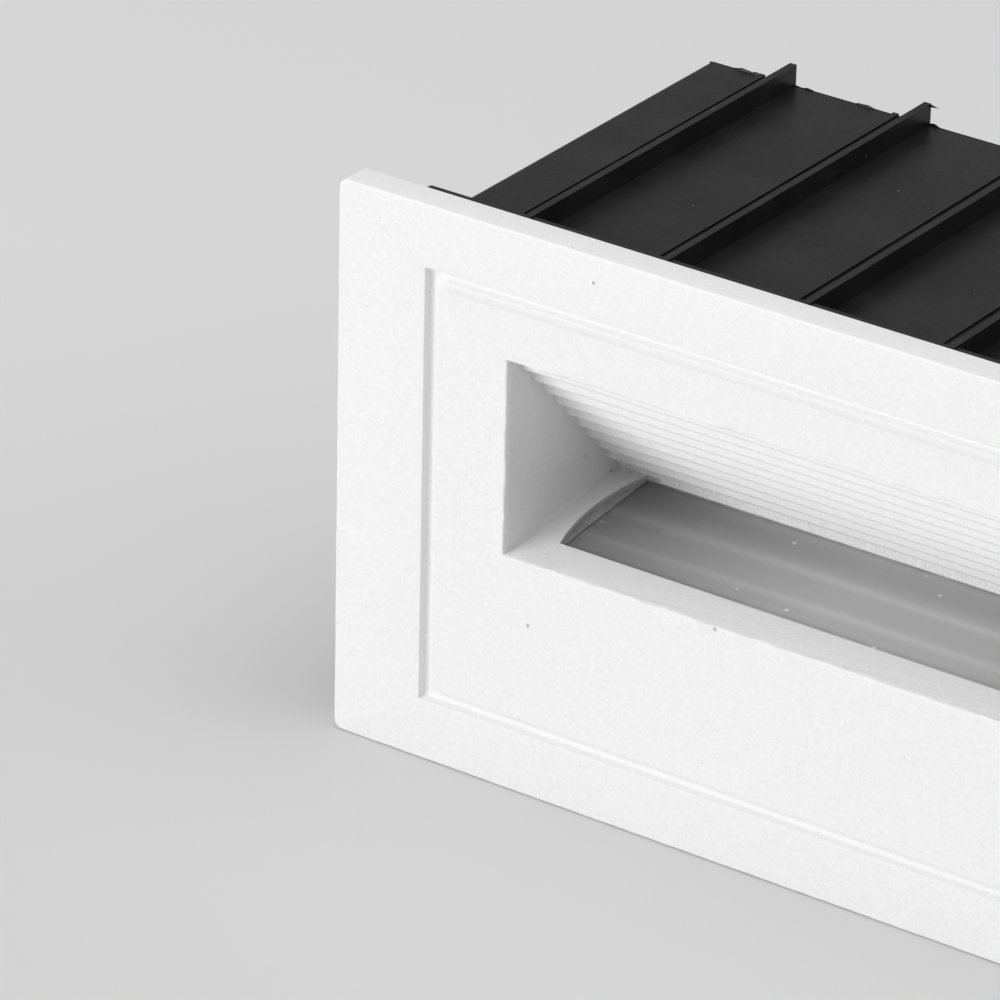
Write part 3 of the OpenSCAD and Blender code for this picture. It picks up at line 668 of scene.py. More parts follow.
def ease(t: np.ndarray) -> np.ndarray:
    """Smooth step of values from 0 to 1, three squares less two cubes."""
    return t * t * (3 - 2 * t)


def bell(distance: np.ndarray, width: float) -> np.ndarray:
    """A bell curve, 1 at no distance and less than a half at its width."""
    return np.exp(-((distance / width) ** 2))


def lattice_noise(points: np.ndarray, size: float, seed: int) -> np.ndarray:
    """Smooth value noise on numpy arrays.

    Each lattice corner gets a number from an integer hash of its indices, and a point takes the
    smoothstep blend of its cell's eight corners.

    Args:
        points: Rows of X, Y, Z.
        size: Size of a cell.
        seed: Number that picks the pattern.

    Returns:
        One value per point, from -1 to 1.
    """
    p = points / size
    cell = np.floor(p).astype(np.int64)
    share = ease(p - cell)
    total = np.zeros(len(points))
    for corner in np.ndindex(2, 2, 2):
        h = ((cell + np.array(corner)) @ HASH_STEPS + seed * HASH_SEED) & HASH_TOP
        h = ((h ^ (h >> 13)) * HASH_MIX) & HASH_TOP
        h = h ^ (h >> 16)
        weight = np.prod(np.where(np.array(corner), share, 1 - share), axis=1)
        total += weight * (h / HASH_TOP * 2 - 1)
    return total


def ragged_noise(points: np.ndarray, sizes: Pair, seeds: tuple[int, int]) -> np.ndarray:
    """Noise of coarse and fine cells.

    Args:
        points: Rows of X, Y, Z.
        sizes: Sizes of the coarse and of the fine cells.
        seeds: Their seeds.

    Returns:
        One value per point, six tenths of the coarse noise and four of the fine.
    """
    coarse, fine = (lattice_noise(points, size, seed) for size, seed in zip(sizes, seeds))
    return 0.6 * coarse + 0.4 * fine


def linked(name: str, data: bpy.types.ID) -> bpy.types.Object:
    """Makes an object and links it to the scene.

    Args:
        name: The object's name.
        data: Its mesh, light or camera.

    Returns:
        The object.
    """
    made = bpy.data.objects.new(name, data)
    bpy.context.scene.collection.objects.link(made)
    return made


def smooth(piece: bpy.types.Object, shade: Shade) -> None:
    """Smooths a piece's faces, with sharp edges above an angle."""
    piece.data.shade_smooth()
    piece.data.set_sharp_from_angle(angle=shade.value)


def bevel(piece: bpy.types.Object, width: float) -> None:
    """Rounds a piece's sharp edges.

    Args:
        piece: The piece.
        width: Width of the rounding.
    """
    made = piece.modifiers.new("edges", "BEVEL")
    made.width = width * MM
    made.segments = 2
    made.limit_method = "ANGLE"
    made.angle_limit = Shade.MACHINED.value
    made.harden_normals = True
    made.use_clamp_overlap = True


@dataclass
class Patches:
    """Grids and flat polygons that meet at shared points and make one mesh."""

    points: list[np.ndarray] = field(default_factory=list)
    faces: list[list[int]] = field(default_factory=list)
    count: int = 0

    def _add(self, rows: np.ndarray) -> int:
        """Appends points.

        Args:
            rows: Rows of X, Y, Z.

        Returns:
            The index of the first one.
        """
        first = self.count
        self.points.append(rows)
        self.count += len(rows)
        return first

    def grid(self, rows: np.ndarray, closed: bool = False) -> None:
        """Adds a grid of quads.

        Args:
            rows: Points as an array of m by n by 3.
            closed: True if the last column joins the first.
        """
        m, n = rows.shape[:2]
        index = np.arange(m * n).reshape(m, n) + self._add(rows.reshape(-1, 3))
        if closed:
            index = np.hstack([index, index[:, :1]])
        corners = [index[:-1, :-1], index[:-1, 1:], index[1:, 1:], index[1:, :-1]]
        self.faces += np.stack(corners, axis=-1).reshape(-1, 4).tolist()

    def flat(self, *loops: np.ndarray) -> None:
        """Adds a flat polygon, cut by holes.

        Args:
            loops: The outline and then the holes, each as rows of X, Y, Z.
        """
        first = self._add(np.vstack(loops))
        cut = [range(len(loops[0]))]
        if len(loops) > 1:
            cut = tessellate_polygon([[Vector(p) for p in loop] for loop in loops])
        self.faces += [[first + i for i in face] for face in cut]

    def wall(self, loop: np.ndarray, other: np.ndarray) -> None:
        """Adds a strip all the way round between two loops of as many points."""
        self.grid(np.stack([loop, other]), True)

    def piece(self, name: str, shade: Shade, merge: float = MERGE) -> bpy.types.Object:
        """Joins the patches into a closed mesh with normals that point outwards.

        Args:
            name: The piece's name.
            shade: How its faces are smoothed.
            merge: Distance in metres under which points join.

        Returns:
            The object, linked to the scene.
        """
        mesh = bpy.data.meshes.new(name)
        mesh.from_pydata((np.vstack(self.points) * MM).tolist(), [], self.faces)
        work = bmesh.new()
        work.from_mesh(mesh)
        bmesh.ops.remove_doubles(work, verts=work.verts, dist=merge)
        bmesh.ops.dissolve_degenerate(work, edges=work.edges, dist=merge)
        bmesh.ops.recalc_face_normals(work, faces=work.faces)
        open_edges = sum(not edge.is_manifold for edge in work.edges)
        work.to_mesh(mesh)
        work.free()
        if open_edges:
            LOG.warning("%s has %d open edges", name, open_edges)
        made = linked(name, mesh)
        smooth(made, shade)
        return made


def settle(
    piece: bpy.types.Object, finish: str, body: Body | None, *nodes: str
) -> bpy.types.Object:
    """Gives a finished piece its material, its body and the nodes that it stands for.

    Args:
        piece: The piece.
        finish: The material slot's name.
        body: The body that it rides on, or None for a piece that spans two and rides on neither.
        nodes: The CAD nodes that it replaces.

    Returns:
        The piece.
    """
    piece.data.materials.clear()
    piece.data.materials.append(FINISHES[finish].material())
    if body is not None:
        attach(piece, body.value)
    if nodes:
        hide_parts(*nodes)
    carrier = body.value if body else "a joint"
    purpose = ", ".join(nodes) or "detail"
    faces = len(piece.data.polygons)
    LOG.info("%s: %d faces on %s, for %s", piece.name, faces, carrier, purpose)
    return piece


def soften(node: str, finish: str, body: Body, width: float) -> bpy.types.Object:
    """Copies a CAD node's mesh, merges it and rounds its edges.

    Args:
        node: The CAD node.
        finish: The material slot's name.
        body: The body that it rides on.
        width: Width of the rounding.

    Returns:
        The new piece, which stands for the node.
    """
    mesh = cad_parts[node].data.copy()
    mesh.materials.clear()
    work = bmesh.new()
    work.from_mesh(mesh)
    bmesh.ops.remove_doubles(work, verts=work.verts, dist=MERGE)
    limits = {"angle_limit": FLAT_TURN, "delimit": {"NORMAL"}}
    bmesh.ops.dissolve_limit(work, verts=work.verts, edges=work.edges, **limits)
    broad = [face for face in work.faces if len(face.verts) > 4]
    bmesh.ops.triangulate(work, faces=broad)
    work.to_mesh(mesh)
    work.free()
    made = linked(f"look_{node}", mesh)
    smooth(made, Shade.MACHINED)
    bevel(made, width)
    made.modifiers.new("even", "WEIGHTED_NORMAL").keep_sharp = True
    return settle(made, finish, body, node)


# The casting


@dataclass
class Casting:
    """The white face casting with its grooved plate and stepped recess.

    Bell widths give how far an edge's roughness reaches. A bead's rise and fall are the distance
    below the frame's edge at which each starts and its length.
    """

    half_l: float = 108.0
    half_h: float = 55.0
    thick: float = 6.1
    corner: float = 2.0
    corner_strips: int = 10
    edge: float = 0.45
    frame_l: float = 89.0
    frame_h: float = 42.8
    frame_corner: float = 0.2
    frame_round: float = 0.14
    frame_lead: float = 0.8
    panel_corner: float = 3.0
    groove_y: float = -4.4
    groove_w: float = 1.9
    wall_at: float = 0.1
    turn_at: float = 0.3
    hollow_at: float = 0.88
    rise_out: float = 0.45
    panel_shares: tuple[float, ...] = (0.19, 0.93, 0.96, 0.985)
    mouth_l: float = 71.8
    mouth_edge: float = 0.35
    lintel_z: float = 29.4
    first_y: float = -0.7
    last_y: float = 31.2
    steps: int = 10
    lip: float = 1.0
    strip_y: float = -4.2
    fillet: float = 0.8
    nose_r: float = 0.75
    inner_r: float = 1.7
    window_l: float = 67.7
    window_bow: float = 2.2
    window_front: float = 8.6
    window_points: int = 25
    pocket_l: float = 69.5
    pocket_s: Pair = (6.8, 38.2687)
    glass_low: float = 5.4
    shell_l: float = 74.3
    shell_back: float = 36.1687
    roof_y: float = -0.7
    stair_wall: float = 3.5
    relief_z: Pair = (-40.0, -17.3)
    relief_depth: float = 2.0
    side_points: int = 220
    per_step: int = 4
    wall_points: int = 7
    rough_sizes: Pair = (4.1, 1.5)
    rim_rough: float = 0.17
    rim_bells: Pair = (0.5, 0.55)
    frame_rough: float = 0.055
    frame_bell: float = 0.5
    mouth_rough: float = 0.36
    mouth_bells: Pair = (0.9, 0.45)
    bead_h: float = 0.37
    bead_rise: Pair = (1.3, 0.7)
    bead_fall: Pair = (2.3, 1.6)
    bead_l: float = 86.4
    bead_run: float = 2.6

    @property
    def run(self) -> float:
        """Depth of one tread."""
        return (self.last_y - self.first_y) / (self.steps - 1)

    @property
    def rise(self) -> float:
        """Height of one riser."""
        climb = (self.last_y - PANEL_Y) * SILL_SLOPE
        return (self.lintel_z - SILL_Z - climb + self.lip) / self.steps

    def sill(self, y: np.ndarray | float) -> np.ndarray | float:
        """Height of the sill at a depth y."""
        return SILL_Z + (y - PANEL_Y) * SILL_SLOPE

    def tread(self, i: int) -> float:
        """Height of the tread in front of riser i, counted from 1."""
        return self.lintel_z - (i - 1) * self.rise

    def on_sill(self, x: np.ndarray, s: np.ndarray, n: float) -> np.ndarray:
        """Points given in the sill's own frame.

        Args:
            x: Places along the face.
            s: Distances back along the sill from the panel's plane.
            n: Height square to the sill.

        Returns:
            Rows of X, Y, Z.
        """
        c, d = math.cos(SILL_TURN), math.sin(SILL_TURN)
        return xyz(x, PANEL_Y + s * c - n * d, SILL_Z + s * d + n * c)

    def levels(self) -> np.ndarray:
        """Finds the heights of the end walls' rows.

        Returns:
            The heights, from the sill to the lintel at the front.
        """
        low = np.linspace(self.sill(self.strip_y), self.tread(self.steps), self.wall_points)
        high = [
            np.linspace(self.tread(i), self.tread(i - 1), self.per_step + 1)[1:]
            for i in range(self.steps, 1, -1)
        ]
        return np.concatenate([low] + high)

    def stations(self) -> tuple[np.ndarray, np.ndarray]:
        """Shares of the way along a long and a short side at which every loop has a point."""
        z = self.levels()
        return np.linspace(0, 1, self.side_points + 1), (z - z[0]) / (z[-1] - z[0])

    def loop(self, half_l: float, low: float, high: float, radius: float, y: float) -> np.ndarray:
        """A rounded rectangle on an upright plane, with matching points on every loop.

        Args:
            half_l: Half its length.
            low: Height of its bottom.
            high: Height of its top.
            radius: Radius of its corners.
            y: Depth of its plane.

        Returns:
            Rows of X, Y, Z, anticlockwise from the bottom left as seen from the front.
        """
        u, v = self.stations()
        x0, x1, z0, z1 = radius - half_l, half_l - radius, low + radius, high - radius
        turn = quarter(self.corner_strips)[1:-1]
        s, c = radius * np.sin(turn), radius * np.cos(turn)
        along, up = (x1 - x0) * u, (z1 - z0) * v
        sides = (
            (x0 + along, low),
            (x1 + s, z0 - c),
            (half_l, z0 + up),
            (x1 + c, z1 + s),
            (x1 - along, high),
            (x0 - s, z1 + c),
            (-half_l, z0 + up[::-1]),
            (x0 - c, z0 - s),
        )
        return np.vstack([xyz(x, y, z) for x, z in sides])

    def inset(self, half_l: float, half_h: float, d: float, radius: float, y: float) -> np.ndarray:
        """The loop of a rectangle about the origin, a distance d inside its sides."""
        return self.loop(half_l - d, d - half_h, half_h - d, radius, y)

    def mouth(self, turn: float) -> np.ndarray:
        """One loop of the mouth's rounded edge.

        Args:
            turn: Angle from the panel's plane inwards.

        Returns:
            The loop.
        """
        edge = self.mouth_edge
        d = edge * math.sin(turn)
        y = PANEL_Y + edge * (1 - math.cos(turn))
        low = SILL_Z - edge + d + (y - PANEL_Y) * SILL_SLOPE
        return self.loop(self.mouth_l + edge - d, low, self.lintel_z + edge - d, 1e-4, y)

    def corner_at(self, d: float) -> float:
        """Corner radius of the groove's loop at a distance d in: sharp first, full at the panel."""
        share = min(max((d - self.turn_at) / (self.groove_w - self.turn_at), 0.0), 1.0)
        return self.frame_corner + (self.panel_corner - self.frame_corner) * share

    def groove(self) -> np.ndarray:
        """Section of the groove, as rows of distance in from the frame and depth.

        A quarter circle rounds the frame's edge, a steep wall goes down from it, a quarter ellipse
        hollows the bottom, and half a cosine wave rises from there to the panel.

        Returns:
            The section's points.
        """
        turn, r = quarter(3), self.frame_round
        edge = [r * (np.sin(turn) - 1), r * (1 - np.cos(turn)) - self.thick]
        turn, reach, fall = quarter(5), self.hollow_at - self.wall_at, self.groove_y - PANEL_Y
        hollow = [self.hollow_at - reach * np.cos(turn), PANEL_Y + fall * np.sin(turn)]
        t = np.linspace(0, 1, 9)[1:]
        out = self.hollow_at + (self.groove_w + self.rise_out - self.hollow_at) * t
        rise = [out, self.groove_y - fall * (0.5 - 0.5 * np.cos(math.pi * t))]
        lead = [[-self.frame_lead], [-self.thick]]
        return np.hstack([lead, edge, hollow, rise]).T

    def plate_loops(self) -> list[np.ndarray]:
        """Builds the loops over the plate's face.

        Returns:
            The loops, from the plate's back edge to the mouth's inner edge.
        """
        loops = [self.inset(self.half_l, self.half_h, 0.0, self.corner, 0.0)]
        for a in quarter(5):
            d = self.edge * (1 - math.cos(a))
            y = -self.thick + self.edge * (1 - math.sin(a))
            loops.append(self.inset(self.half_l, self.half_h, d, self.corner - d * 0.9, y))
        for d, y in self.groove():
            loops.append(self.inset(self.frame_l, self.frame_h, d, self.corner_at(d), y))
        first, last = loops[-1], self.mouth(0.0)
        near, far, *ends = self.panel_shares
        close, wide = np.linspace(0, near, 20)[1:], np.linspace(near, far, 10)[1:]
        for t in np.concatenate([close, wide, [*ends, 1.0]]):
            loops.append(first + (last - first) * t)
        loops += [self.mouth(a) for a in quarter(4)[1:]]
        low = float(self.sill(self.strip_y))
        return loops + [self.loop(self.mouth_l, low, self.lintel_z, 0.0, self.strip_y)]

    def stairs(self) -> np.ndarray:
        """Section of the stepped ceiling, from the mouth to the last riser.

        Each corner is a quarter circle: from its centre, the points go from the side that the line
        comes in on to the side that it leaves by.

        Returns:
            Rows of Y, Z.
        """
        i = np.arange(1, self.steps)
        y = self.first_y + (i - 1) * self.run
        inner = np.column_stack([y, self.lintel_z - (i - 1) * self.rise])
        nose = np.column_stack([y, self.lintel_z - i * self.rise])
        turn = quarter(5)[:, None]
        back, down = np.array([1.0, 0.0]), np.array([0.0, -1.0])

        def arcs(corner: np.ndarray, come: np.ndarray, go: np.ndarray, r: float) -> np.ndarray:
            """Quarter circles at corners, with the ways in which the line comes and goes."""
            out = np.sin(turn) * come - np.cos(turn) * go
            return (corner - r * come + r * go)[:, None, :] + r * out

        both = [arcs(inner, back, down, self.inner_r), arcs(nose, down, back, self.nose_r)]
        start = [[self.strip_y, self.lintel_z]]
        end = [[self.last_y, self.tread(self.steps)]]
        return np.vstack([start, np.concatenate(both, axis=1).reshape(-1, 2), end])

    def fillet_at(self, y: np.ndarray) -> np.ndarray:
        """Radius between sill and end walls at a depth y: a bent sine, full in the middle."""
        t = (y - self.strip_y) / (self.last_y - self.strip_y)
        return self.fillet * np.sin(np.pi * np.clip(t, 0, 1) ** 0.8) ** 0.7

    def recess(self, made: Patches) -> None:
        """Adds the stepped ceiling, the end walls, the fillets, the sill and the last riser.

        Args:
            made: The patches that they are added to.
        """
        x = -self.mouth_l + 2 * self.mouth_l * self.stations()[0]
        yz = self.stairs()
        made.grid(xyz(x, yz[:, :1], yz[:, 1:]))
        y = np.linspace(self.strip_y, self.last_y, self.steps * self.per_step + 1)
        z = self.levels()
        r = self.fillet_at(y)
        r[0] = r[-1] = 0.0
        sill, top = self.sill(y), self.tread(self.steps)
        foot = sill + r
        low = np.linspace(0, 1, self.wall_points)
        knee = foot + (top - foot) * low[1]
        wall_low = foot[-1] + (top - foot[-1]) * low
        front = np.column_stack([np.full(len(z) - 1, self.strip_y), z[1:]])
        back = np.column_stack([np.full(self.wall_points - 2, y[-1]), wall_low[-2:0:-1]])
        rim = np.vstack([front, yz[1:], back, np.column_stack([y, knee])[:0:-1]])
        turn = quarter(5)[:, None]
        for side in (-1, 1):
            at = side * self.mouth_l
            made.flat(xyz(at, *rim.T))
            made.grid(xyz(at, y, np.stack([foot, knee])))
            at = side * (self.mouth_l - r * (1 - np.cos(turn)))
            made.grid(xyz(at, y, sill + r * (1 - np.sin(turn))))
        right = xyz(self.mouth_l - r, y, sill)
        left = right * [-1, 1, 1]
        front = xyz(x, self.strip_y, self.sill(self.strip_y))
        hole = self.window(0.0)
        made.flat(np.vstack([front, right[1:], hole, left[:0:-1]]))
        top_edge = xyz(x, self.last_y, top)
        up = xyz(self.mouth_l, self.last_y, wall_low)
        made.flat(np.vstack([hole[[-1, 0]], up, top_edge[-2:0:-1], up[::-1] * [-1, 1, 1]]))

    def window(self, n: float) -> np.ndarray:
        """The window's outline, whose ends are arcs through the corners, bowed outwards.

        Args:
            n: Height square to the sill.

        Returns:
            Rows of X, Y, Z, from the right back corner round the front to the left back corner.
        """
        back = (self.last_y - PANEL_Y) / math.cos(SILL_TURN)
        half = (back - self.window_front) / 2
        bow_r = (half**2 + self.window_bow**2) / (2 * self.window_bow)
        reach = math.asin(half / bow_r)
        turn = np.linspace(reach, -reach, self.window_points)
        x = self.window_l - bow_r + bow_r * np.cos(turn)
        s = self.window_front + half + bow_r * np.sin(turn)
        return self.on_sill(np.concatenate([x, -x[::-1]]), np.concatenate([s, s[::-1]]), n)

    def rear(self, made: Patches, plate: np.ndarray) -> None:
        """Adds the window's walls, the glass's pocket, the recess's shell and the plate's back.

        Args:
            made: The patches that they are added to.
            plate: The plate's outline at its back.
        """
        hole, lip = self.window(0.0), self.window(-self.lip)
        made.wall(hole, lip)
        sides = np.array([-1, 1, 1, -1])
        s = np.repeat(self.pocket_s, 2)
        depths = (-self.lip, -self.glass_low)
        inner, outer = (self.on_sill(self.pocket_l * sides, s, n) for n in depths)
        made.flat(inner, lip)
        made.wall(inner, outer)
        slope = self.rise / self.run
        drop = self.glass_low / math.cos(SILL_TURN)
        back_z = float(self.sill(self.shell_back)) - drop
        last = self.lintel_z - slope * (self.shell_back - self.first_y - self.stair_wall)
        roof_back = max(last, back_z + self.glass_low + self.lip)
        roof_z = self.lintel_z + slope * self.stair_wall
        deep = self.shell_back - self.roof_y
        roof_0 = roof_z + (0.0 - self.roof_y) * (roof_back - roof_z) / deep
        y = np.array([0.0, self.shell_back, self.shell_back, 0.0])
        z = np.array([float(self.sill(0.0)) - drop, back_z, roof_back, roof_0])
        left, right = (xyz(side * self.shell_l, y, z) for side in (-1, 1))
        made.flat(left)
        made.flat(right)

        def between(i: int, j: int) -> np.ndarray:
            """The shell's side between two corners of its section."""
            return np.stack([left[i], right[i], right[j], left[j]])

        made.flat(between(0, 1), outer)
        made.flat(between(1, 2))
        made.flat(between(2, 3))
        x, z = self.shell_l * sides, np.repeat(self.relief_z, 2)
        rim, floor = (xyz(x, y, z) for y in (0.0, -self.relief_depth))
        made.flat(plate, between(0, 3), rim)
        made.wall(rim, floor)
        made.flat(floor)

    def roughen(self, p: np.ndarray) -> np.ndarray:
        """Moves the points near the casting's front edges by small irregular amounts.

        The amount is a noise at wavelengths of 1.5 to 4 mm times bells about the plate's outline,
        the frame's inner edge and the mouth's edge. The outline only moves inwards.

        Args:
            p: Rows of X, Y, Z.

        Returns:
            The moved rows.
        """
        noise = [ragged_noise(p, self.rough_sizes, (k, k + 7)) for k in (1, 2, 3)]
        noise = np.stack(noise, -1)

        def outside(half_l: float, low: float, high: float) -> np.ndarray:
            """How far the points are outside a rectangle, below zero inside it."""
            over = np.abs(p[:, 2] - (low + high) / 2) - (high - low) / 2
            return np.maximum(np.abs(p[:, 0]) - half_l, over)

        across, back = self.rim_bells
        rim_off = outside(self.half_l, -self.half_h, self.half_h)
        rim = self.rim_rough * bell(rim_off, across) * bell(p[:, 1] + self.thick, back)
        inward = -np.sign(p) * np.abs(noise) * rim[:, None]
        inward[:, 1] = np.abs(noise[:, 1]) * rim
        frame_off = outside(self.frame_l, -self.frame_h, self.frame_h)
        lip = bell(frame_off, self.frame_bell) * self.frame_rough
        across, back = self.mouth_bells
        mouth_off = outside(self.mouth_l, SILL_Z, self.lintel_z)
        mouth = self.mouth_rough * bell(mouth_off, across) * bell(p[:, 1] - PANEL_Y, back)
        moved = p + inward + noise * (lip + mouth)[:, None]
        moved[:, 1] = np.maximum(moved[:, 1], -self.thick)
        return moved

    def bead(self, p: np.ndarray) -> np.ndarray:
        """Raises the low drip bead along the panel's top edge.

        From 2.0 to 2.3 mm below the frame's edge the bead is at its full height, and then falls
        back more and more steeply, as a parabola, until it ends in a crease at 3.9 mm.

        Args:
            p: Rows of X, Y, Z.

        Returns:
            The moved rows.
        """
        d = self.frame_h - p[:, 2]
        rise, fall = ((d - at) / run for at, run in (self.bead_rise, self.bead_fall))
        t = np.clip(fall, 0, 1)
        height = self.bead_h * np.clip(rise, 0, 1) * np.where(t < 1, 1 - t**2, 0)
        along = ease(np.clip((self.bead_l - np.abs(p[:, 0])) / self.bead_run, 0, 1))
        face = (p[:, 1] < self.groove_y + 0.02) & (d > 1.2) & (d < 6)
        moved = p.copy()
        moved[:, 1] -= np.where(face, height * along, 0)
        return moved

    def build(self) -> bpy.types.Object:
        """Builds the casting.

        Returns:
            The piece, which stands for the CAD node.
        """
        made = Patches()
        loops = self.plate_loops()
        made.grid(np.stack(loops), True)
        self.recess(made)
        self.rear(made, loops[0])
        made.points = [self.roughen(self.bead(np.vstack(made.points)))]
        piece = made.piece("face_casting_body", Shade.CAST)
        bevel(piece, self.frame_round)
        return settle(piece, "white_casting", Body.LAMP, "face_casting")


# Assemblies made from the CAD nodes


@dataclass
class Softened:
    """CAD nodes that get a finish and edges rounded to a width."""

    body: Body = Body.LAMP
    nodes: tuple[tuple[str, str, float], ...] = ()

    def build(self) -> list[bpy.types.Object]:
        """Builds one piece per node."""
        return [soften(node, finish, self.body, width) for node, finish, width in self.nodes]


@dataclass
class Optics(Softened):
    """Glass, seal, retainer, light engine and driver under the sill."""

    nodes: tuple[tuple[str, str, float], ...] = (
        ("glass_pane", "frosted_glass", 0.2),
        ("glass_seal", "grey_silicone", 0.08),
        ("glass_retainer", "sheet_steel", 0.12),
        ("led_bracket", "bare_aluminium", 0.25),
        ("reflector", "white_sheet", 0.12),
        ("led_board", "board_white", 0.1),
        ("thermal_pad", "pad_grey", 0.08),
        ("led_chips", "phosphor", 0.12),
        ("led_connector", "ivory_plastic", 0.2),
        ("led_lead_red", "lead_red", 0.05),
        ("led_lead_black", "lead_black", 0.05),
        ("driver_case", "white_plastic", 0.6),
        ("driver_pad", "pad_grey", 0.1),
    )


@dataclass
class Housing(Softened):
    """Rear housing with its seals, its gland, the earth washer and what carries the clips."""

    nodes: tuple[tuple[str, str, float], ...] = (
        ("rear_housing", "white_plastic", 0.4),
        ("housing_seal", "grey_silicone", 0.1),
        ("gland_body", "black_nylon", 0.3),
        ("gland_washer", "dark_rubber", 0.2),
        ("gland_locknut", "black_nylon", 0.3),
        ("gland_bush", "dark_rubber", 0.2),
        ("earth_washer", "zinc_screw", 0.12),
        ("face_gasket", "black_foam", 0.15),
        ("clip_bracket_left", "sheet_steel", 0.2),
        ("clip_bracket_right", "sheet_steel", 0.2),
        ("clip_pin_left", "spring_steel", 0.15),
        ("clip_pin_right", "spring_steel", 0.15),
        ("clip_rivets", "bare_aluminium", 0.2),
    )


@dataclass
class WallBox(Softened):
    """The black box in the wall, with its entry plug."""

    body: Body = Body.BOX
    nodes: tuple[tuple[str, str, float], ...] = (
        ("wall_box", "black_box", 0.3),
        ("entry_plug", "black_nylon", 0.4),
    )


# Turned and wound pieces


@dataclass(frozen=True)
class Screws:
    """A set of screws with domed heads, a drive recess and a thread.

    Skirt is the share of the head's height below its dome. Slit gives the recess's half width, its
    half length and the softness of its sides, as shares of the head's radius.
    """

    node: str
    finish: str
    places: tuple[Triple, ...]
    out: Triple
    head_r: float
    head_h: float
    shank_r: float
    shank_l: float
    drive: Drive = Drive.CROSS
    pitch: float = 0.7
    thread: float = 0.22
    tip: float = 0.35
    brim: float = 0.12
    skirt: float = 0.45
    slit: Triple = (0.17, 0.6, 0.12)
    spins: tuple[float, ...] = (0.4, 1.1, 0.7, 0.1)
    columns: int = 48

    def profile(self) -> np.ndarray:
        """Section of a screw.

        Returns:
            Rows of height above the head's underside and radius, from the tip to the head's top.
        """
        count = int(self.shank_l / self.pitch * 6)
        shank = np.full((count, 2), self.shank_r)
        shank[:, 0] = np.linspace(-self.shank_l, -0.05, count)
        shank[0, 1] -= self.tip
        rho = np.concatenate([[1.0], np.linspace(0.97, 0.0, 18)])
        dome = self.skirt + (1 - self.skirt) * np.sqrt(1 - rho**2)
        head = np.column_stack([self.head_h * dome, self.head_r * rho])
        under = [[0.0, self.shank_r], [0.0, self.head_r - self.brim], [self.brim, self.head_r]]
        return np.vstack([[[-self.shank_l, 0.0]], shank, under, head])

    def one(self) -> np.ndarray:
        """Points of one screw along its own axis.

        The thread's radius falls by a triangle wave of height over the pitch plus the share of a
        turn, and the recess lowers the dome inside a cross or a slot with soft sides.

        Returns:
            A grid of rows by columns of U, V, H.
        """
        h, r = (column[:, None] for column in self.profile().T)
        turn = circle(self.columns)
        wave = np.abs((h / self.pitch - turn / (2 * math.pi)) % 1 - 0.5) * 2
        on_shank = (h < -0.3) & (h > 0.4 - self.shank_l) & (r > 0)
        r = r - np.where(on_shank, self.thread * wave, 0.0)
        u, v = r * np.cos(turn), r * np.sin(turn)
        near, far = np.abs(v) * 0.9, np.zeros_like(u)
        if self.drive is Drive.CROSS:
            near, far = np.sort(np.abs([u, v]), axis=0)
        width, reach, soft = (share * self.head_r for share in self.slit)
        inside = np.clip((width - near) / soft, 0, 1) * np.clip((reach - far) / soft, 0, 1)
        on_dome = h > self.skirt * self.head_h
        return xyz(u, v, h - np.where(on_dome, 0.5 * self.head_h * inside, 0.0))

    def build(self) -> bpy.types.Object:
        """Builds the set.

        Returns:
            The piece, which stands for the CAD node.
        """
        axis = np.array(self.out)
        side = np.cross(axis, [1.0, 0.0, 0.0])
        across = np.cross(side, axis)
        u, v, h = np.split(self.one(), 3, axis=-1)
        made = Patches()
        for place, spin in zip(self.places, self.spins):
            c, d = math.cos(spin), math.sin(spin)
            flat = (u * c - v * d) * across + (u * d + v * c) * side
            made.grid(np.array(place) + flat + h * axis, True)
        piece = made.piece(f"screws_{self.node}", Shade.CAST, MERGE / 2)
        return settle(piece, self.finish, Body.LAMP, self.node)


